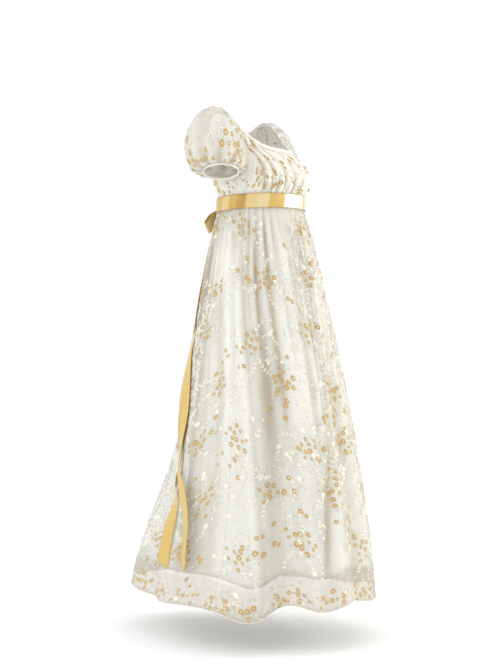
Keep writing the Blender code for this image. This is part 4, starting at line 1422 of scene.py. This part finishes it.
# %% Embroider the skirt
SPRAY_ROWS = 7
FIRST_ROW = 0.070
ROW_STEP = 0.140
SPRAY_STEP = 0.180
SPRAY_SHIFT = 0.024
SEAM_MARGIN = 9
SCALLOP_WIDTH = 0.021
SCALLOP_HEIGHT = 0.0065
HEM_INSET = 0.4
HEM_BUNCHES = 15
with_cloth = {}
for side, start, seed in (("front", -90, 11), ("back", 90, 23)):
    layout = Layout(seed)
    for row in range(SPRAY_ROWS):
        down = FIRST_ROW + ROW_STEP * row
        per_degree = skirt_across(down / SKIRT_LENGTH)
        count = max(3, round(180 * per_degree / SPRAY_STEP))
        for number in range(count):
            angle = start + 180 * (number + 0.28 + 0.44 * (row % 2)) / count
            shift = layout.rng.uniform(-SPRAY_SHIFT, SPRAY_SHIFT, 2)
            angle = min(max(angle, start + SEAM_MARGIN), start + 180 - SEAM_MARGIN)
            x, y = angle * per_degree + shift[0], down + shift[1]
            layout.spray(x, y)
            if number and row < SPRAY_ROWS - 1:
                layout.spray(x - 0.5 * SPRAY_STEP, y + 0.45 * ROW_STEP, blossoms=(0, 3), sprigs=4, size=0.9)
    hem_across = skirt_across(1.0)
    for number in range(HEM_BUNCHES):
        angle = start + 180 * (number + 0.5) / HEM_BUNCHES
        x, y = angle * hem_across, SKIRT_LENGTH - 0.022 - 0.006 * (number % 2)
        layout.bunch(x, y, 4 + number % 4, 3.3 * (number % 2))
        layout.foliage(x, SKIRT_LENGTH - 0.034, 16, 0.0, 0.032)
        layout.sprig(x + 0.030, SKIRT_LENGTH - 0.020, -1.2 + 0.5 * (number % 3), 0.044, 4)
    scallops = round(180 * hem_across / SCALLOP_WIDTH)
    arc = np.linspace(0.0, 1.0, scallops * 8 + 1)
    reach = 180 - 2 * HEM_INSET
    along_hem = (start + HEM_INSET + reach * arc) * hem_across
    for base in (0.0035, 0.0010):
        wave = base + SCALLOP_HEIGHT * np.abs(np.sin(np.pi * scallops * arc)) ** 0.7
        layout.stems.append(np.stack([along_hem, SKIRT_LENGTH - wave], axis=-1).tolist())
    for number in range(scallops):
        x = (start + HEM_INSET + reach * (number + 0.5) / scallops) * hem_across
        layout.leaves.append((x, SKIRT_LENGTH - 0.0135, math.pi, 0.75))
    with_cloth[f"skirt_{side}"] = embroider(f"skirt_{side}", SKIRT, layout)
    print(side, len(layout.blossoms), "blossoms,", len(layout.leaves), "leaves")

# %% [markdown]
# The bodice and the sleeves are cut from the same cloth. There the gathers fold most of a motif away,
# so the bunches are smaller and stand further apart.
# %% Embroider the bodice and the sleeves
GATHERED_SPACING = 0.0112
BODICE_BUNCHES = {
    "front": table(
        "angle down count heading",
        (-54, 0.14, 8, 0.9), (-33, 0.26, 2, 0.6), (-12, 0.18, 4, 0.8), (-62, 0.6, 12, 0.9),
        (-44, 0.7, 8, 1.3), (-20, 0.62, 3, 1.6), (-6, 0.8, 4, 1.5), (16, 0.35, 6, 2.4), (30, 0.74, 7, 1.1),
        (50, 0.3, 6, 2.0), (62, 0.7, 7, 0.4), (-80, 0.45, 3, 1.4), (80, 0.5, 3, 1.7),
    ),
    "back": table(
        "angle down count heading",
        (104, 0.55, 4, 1.2), (134, 0.3, 7, 0.5), (152, 0.66, 8, 2.2), (176, 0.34, 7, 0.9),
        (194, 0.72, 6, 1.3), (212, 0.32, 8, 2.4), (228, 0.7, 6, 0.4), (256, 0.55, 4, 1.8),
    ),
}
for side, seed in (("front", 31), ("back", 37)):
    layout = Layout(seed)
    for row in BODICE_BUNCHES[side]:
        x, y = row.angle * BODICE.across(0.0), row.down * BODICE.length
        layout.bunch(x, y, row.count, row.heading, GATHERED_SPACING)
        if row.count > 2:
            layout.sprig(x + 0.018, y - 0.02, -0.6, 0.034, 3)
            layout.foliage(x, y, 18, 0.010, 0.045)
    layout.keep_inside(0.012, BODICE.length - 0.022)
    with_cloth[f"bodice_{side}"] = embroider(f"bodice_{side}", BODICE, layout)

SLEEVE_BUNCHES = table(
    "angle down count heading",
    (48, 0.54, 19, 1.5), (66, 0.84, 11, 0.3), (10, 0.1, 4, 0.2), (298, 0.56, 5, 0.0), (318, 0.84, 12, 3.0),
    (268, 0.86, 10, 0.2), (352, 0.84, 5, 0.4), (120, 0.6, 6, 1.0), (165, 0.62, 5, 2.0), (215, 0.5, 5, 1.0),
    (250, 0.4, 6, 2.6),
)
for side, seed in (("left", 41), ("right", 43)):
    layout = Layout(seed)
    for row in SLEEVE_BUNCHES:
        x, y = row.angle * PUFF[side].across(0.0), row.down * PUFF[side].length
        layout.bunch(x, y, row.count, row.heading, GATHERED_SPACING)
        layout.sprig(x + 0.016, y - 0.030, -0.9, 0.036, 3)
        layout.foliage(x, y, 12, 0.014, 0.055)
    for number in range(9):
        layout.sprig(0.02 + 0.062 * number, 0.045 + 0.02 * (number % 2), 1.2 + 0.7 * number, 0.036, 2)
        layout.foliage(0.03 + 0.062 * number, 0.075, 8, 0.0, 0.055)
    layout.leaves = [(x, y, spin, 0.72 * size) for x, y, spin, size in layout.leaves]
    layout.rosettes = [(x, y, spin, 0.60 * size) for x, y, spin, size in layout.rosettes]
    layout.keep_inside(0.010, PUFF[side].length - 0.008)
    with_cloth[f"sleeve_{side}"] = embroider(f"sleeve_{side}", PUFF[side], layout)
print("embroidered pieces:", sum(len(pieces) for pieces in with_cloth.values()))

# %% [markdown]
# ## Sewing
# Hems, seams and edges are what make cloth look sewn. The organza has a narrow rolled hem and French
# seams, which show as fine ridges. The satin has a turned hem held by a row of stitches. Each is a path
# read from the panel itself, so it lies on the cloth wherever that goes, and a node tree follows it.
# %% Sew the skirt and the lining
HEM_DEPTH = 0.018
HEM_STITCH = {"Spacing": 0.0036, "Length": 0.0026, "Radius": 0.00035}
FINE_STITCH = {"Spacing": 0.0030, "Length": 0.0022, "Radius": 0.0003}


def sew(cloth, name, paths, tree, thread, closed=False, **sizes):
    """Runs a cord or a row of stitches along paths in space and notes which cloth it is on."""
    mesh = run_tree(name, path_mesh(name, paths, closed=closed), tree, Material=thread, **sizes)
    with_cloth.setdefault(cloth, []).append(finish_piece(bpy.data.objects.new(name, mesh), thread))


def sew_cord(cloth, name, path, radius, thread=cream_thread, closed=False):
    """One round cord, such as a rolled hem, a French seam or a piping."""
    sew(cloth, name, [path], CORD, thread, closed, Radius=radius, Sides=6)


def round_path(panel, share, lift, start, end, step=1.0):
    """A path round the body on a panel, level with a share of its length."""
    angle = np.arange(start, end + step / 2, step)
    return on_panel(panel, angle, share + 0.0 * angle, lift).tolist()


def down_path(panel, angle, lift, top=0.0, bottom=1.0, steps=150):
    """A path straight down a panel."""
    share = np.linspace(top, bottom, steps)
    return on_panel(panel, angle + 0.0 * share, share, lift).tolist()


SIDE_SEAMS = (("left", 90.0), ("right", -90.0))
for side, start in (("front", -90), ("back", 90)):
    hem_roll = round_path(SKIRT, 0.9995, 0.0, start + 0.2, start + 179.8, 0.7)
    sew_cord(f"skirt_{side}", f"rolled_hem_{side}", hem_roll, 0.0011)
    hem_row = round_path(LINING, 1.0 - HEM_DEPTH / LINING.length, 0.0004, start + 0.3, start + 179.7, 0.8)
    sew(f"lining_{side}", f"lining_hem_stitches_{side}", [hem_row], STITCHES, sewing_thread, **HEM_STITCH)
for word, angle in SIDE_SEAMS:
    sew_cord("skirt_front", f"skirt_side_seam_{word}", down_path(SKIRT, angle, 0.0, 0.022, 0.998), 0.0004)
print("hems and side seams are sewn")

# %% Sew the bodice, the sleeves and the ribbon
for word, angle in SIDE_SEAMS:
    seam = down_path(BODICE, angle, 0.0, 0.02, 0.72, 30)
    sew_cord("bodice_front", f"bodice_side_seam_{word}", seam, 0.0009)
for name, share, end, step, radius in (
    ("neck_seam", 0.97, 359.2, 0.8, 0.0011), ("neck_ruffle_edge", 0.02, 359.4, 0.6, 0.0010)
):
    sew_cord("neck_casing", name, round_path(CASING, share, 0.0, 0.0, end, step), radius, closed=True)
neck_row = round_path(CASING, 0.66, 0.0004, 0.0, 359.5, 0.5)
sew("neck_casing", "neck_casing_stitches", [neck_row], STITCHES, sewing_thread, closed=True, **FINE_STITCH)
for side in ("left", "right"):
    armhole = round_path(PUFF[side], 0.012, 0.0, 0.0, 358.0, 2.0)
    sew_cord(f"sleeve_{side}", f"armhole_seam_{side}", armhole, 0.0012, closed=True)
    cuff_edge, cuff_row = (round_path(CUFF[side], share, 0.0003, 0.0, 357.0, 3.0) for share in (0.98, 0.34))
    sew_cord(f"cuff_{side}", f"cuff_piping_{side}", cuff_edge, 0.0010, sewing_thread, closed=True)
    name = f"cuff_stitches_{side}"
    sew(f"cuff_{side}", name, [cuff_row], STITCHES, sewing_thread, closed=True, **FINE_STITCH)
SELVEDGE = {"Radius": 0.0004, "Sides": 5}
for word, share in (("upper", 0.004), ("lower", 0.996)):
    edge = round_path(SASH, share, 0.0004, 0.0, 359.0)
    sew("sash_band", f"sash_{word}_selvedge", [edge], CORD, gold_thread, closed=True, **SELVEDGE)
for name in TAIL_PATHS:
    drops = np.linspace(TAIL_START, TAIL_END, 110)
    edges = [tail_point(name, slant_end(drops, across), across).tolist() for across in (-0.5, 0.5)]
    sew(name, f"{name}_selvedges", edges, CORD, gold_thread, **SELVEDGE)
print("seams, stitches and selvedges:", sum(len(pieces) for pieces in with_cloth.values()), "pieces on cloth")

# %% [markdown]
# ## What each cloth was cut to
# Every sheet is listed with the size of its flat cut, in metres, and how it is held. The skirt is cut
# far wider than the waist that it is gathered into. The panels are tapered, so their area is given too.
Cut = namedtuple("Cut", "width length area held rests_on")
SKIRT_CUT = Cut(SKIRT_CUT_HEM / 2, SKIRT_LENGTH, 0.86, "gathered", ["sash_band"])
LINING_CUT = Cut(0.875, 0.98, 0.67, "hung", ["sash_band"])
BODICE_CUT = Cut(0.60, 0.17, 0.078, "gathered", ["neck_casing", "sash_band"])
SLEEVE_CUT = Cut(0.52, 0.18, 0.078, "gathered", ["bodice_front", "bodice_back"])
CUFF_CUT = Cut(0.30, 0.012, 0.0022, "stretched", [])
LOOP_CUT = Cut(0.16, 0.038, None, "folded", ["bow_knot"])
TAIL_CUT = Cut(0.038, 0.96, None, "hung", ["bow_knot", "skirt_back"])
CUTS = {
    "skirt_front": SKIRT_CUT,
    "skirt_back": SKIRT_CUT,
    "lining_front": LINING_CUT,
    "lining_back": LINING_CUT,
    "bodice_front": BODICE_CUT,
    "bodice_back": BODICE_CUT,
    "neck_casing": Cut(0.96, 0.010, None, "gathered", ["bodice_front", "bodice_back"]),
    "sleeve_left": SLEEVE_CUT,
    "sleeve_right": SLEEVE_CUT,
    "cuff_left": CUFF_CUT._replace(rests_on=["sleeve_left"]),
    "cuff_right": CUFF_CUT._replace(rests_on=["sleeve_right"]),
    "sash_band": Cut(0.83, 0.038, None, "stretched", ["bodice_front", "bodice_back"]),
    "bow_loop_left": LOOP_CUT,
    "bow_loop_right": LOOP_CUT,
    "sash_tail_left": TAIL_CUT,
    "sash_tail_right": TAIL_CUT,
}
for name, cut in CUTS.items():
    cloth = panels[name]
    shown = sum(face.area for face in cloth.data.polygons)
    print(f"{name}: {shown:.4f} m2 of {cut.area or cut.width * cut.length:.4f} m2 cut")

# %% Remove the motifs' patterns
for pattern in (blossom, rosette, leaf):
    bpy.data.objects.remove(pattern)
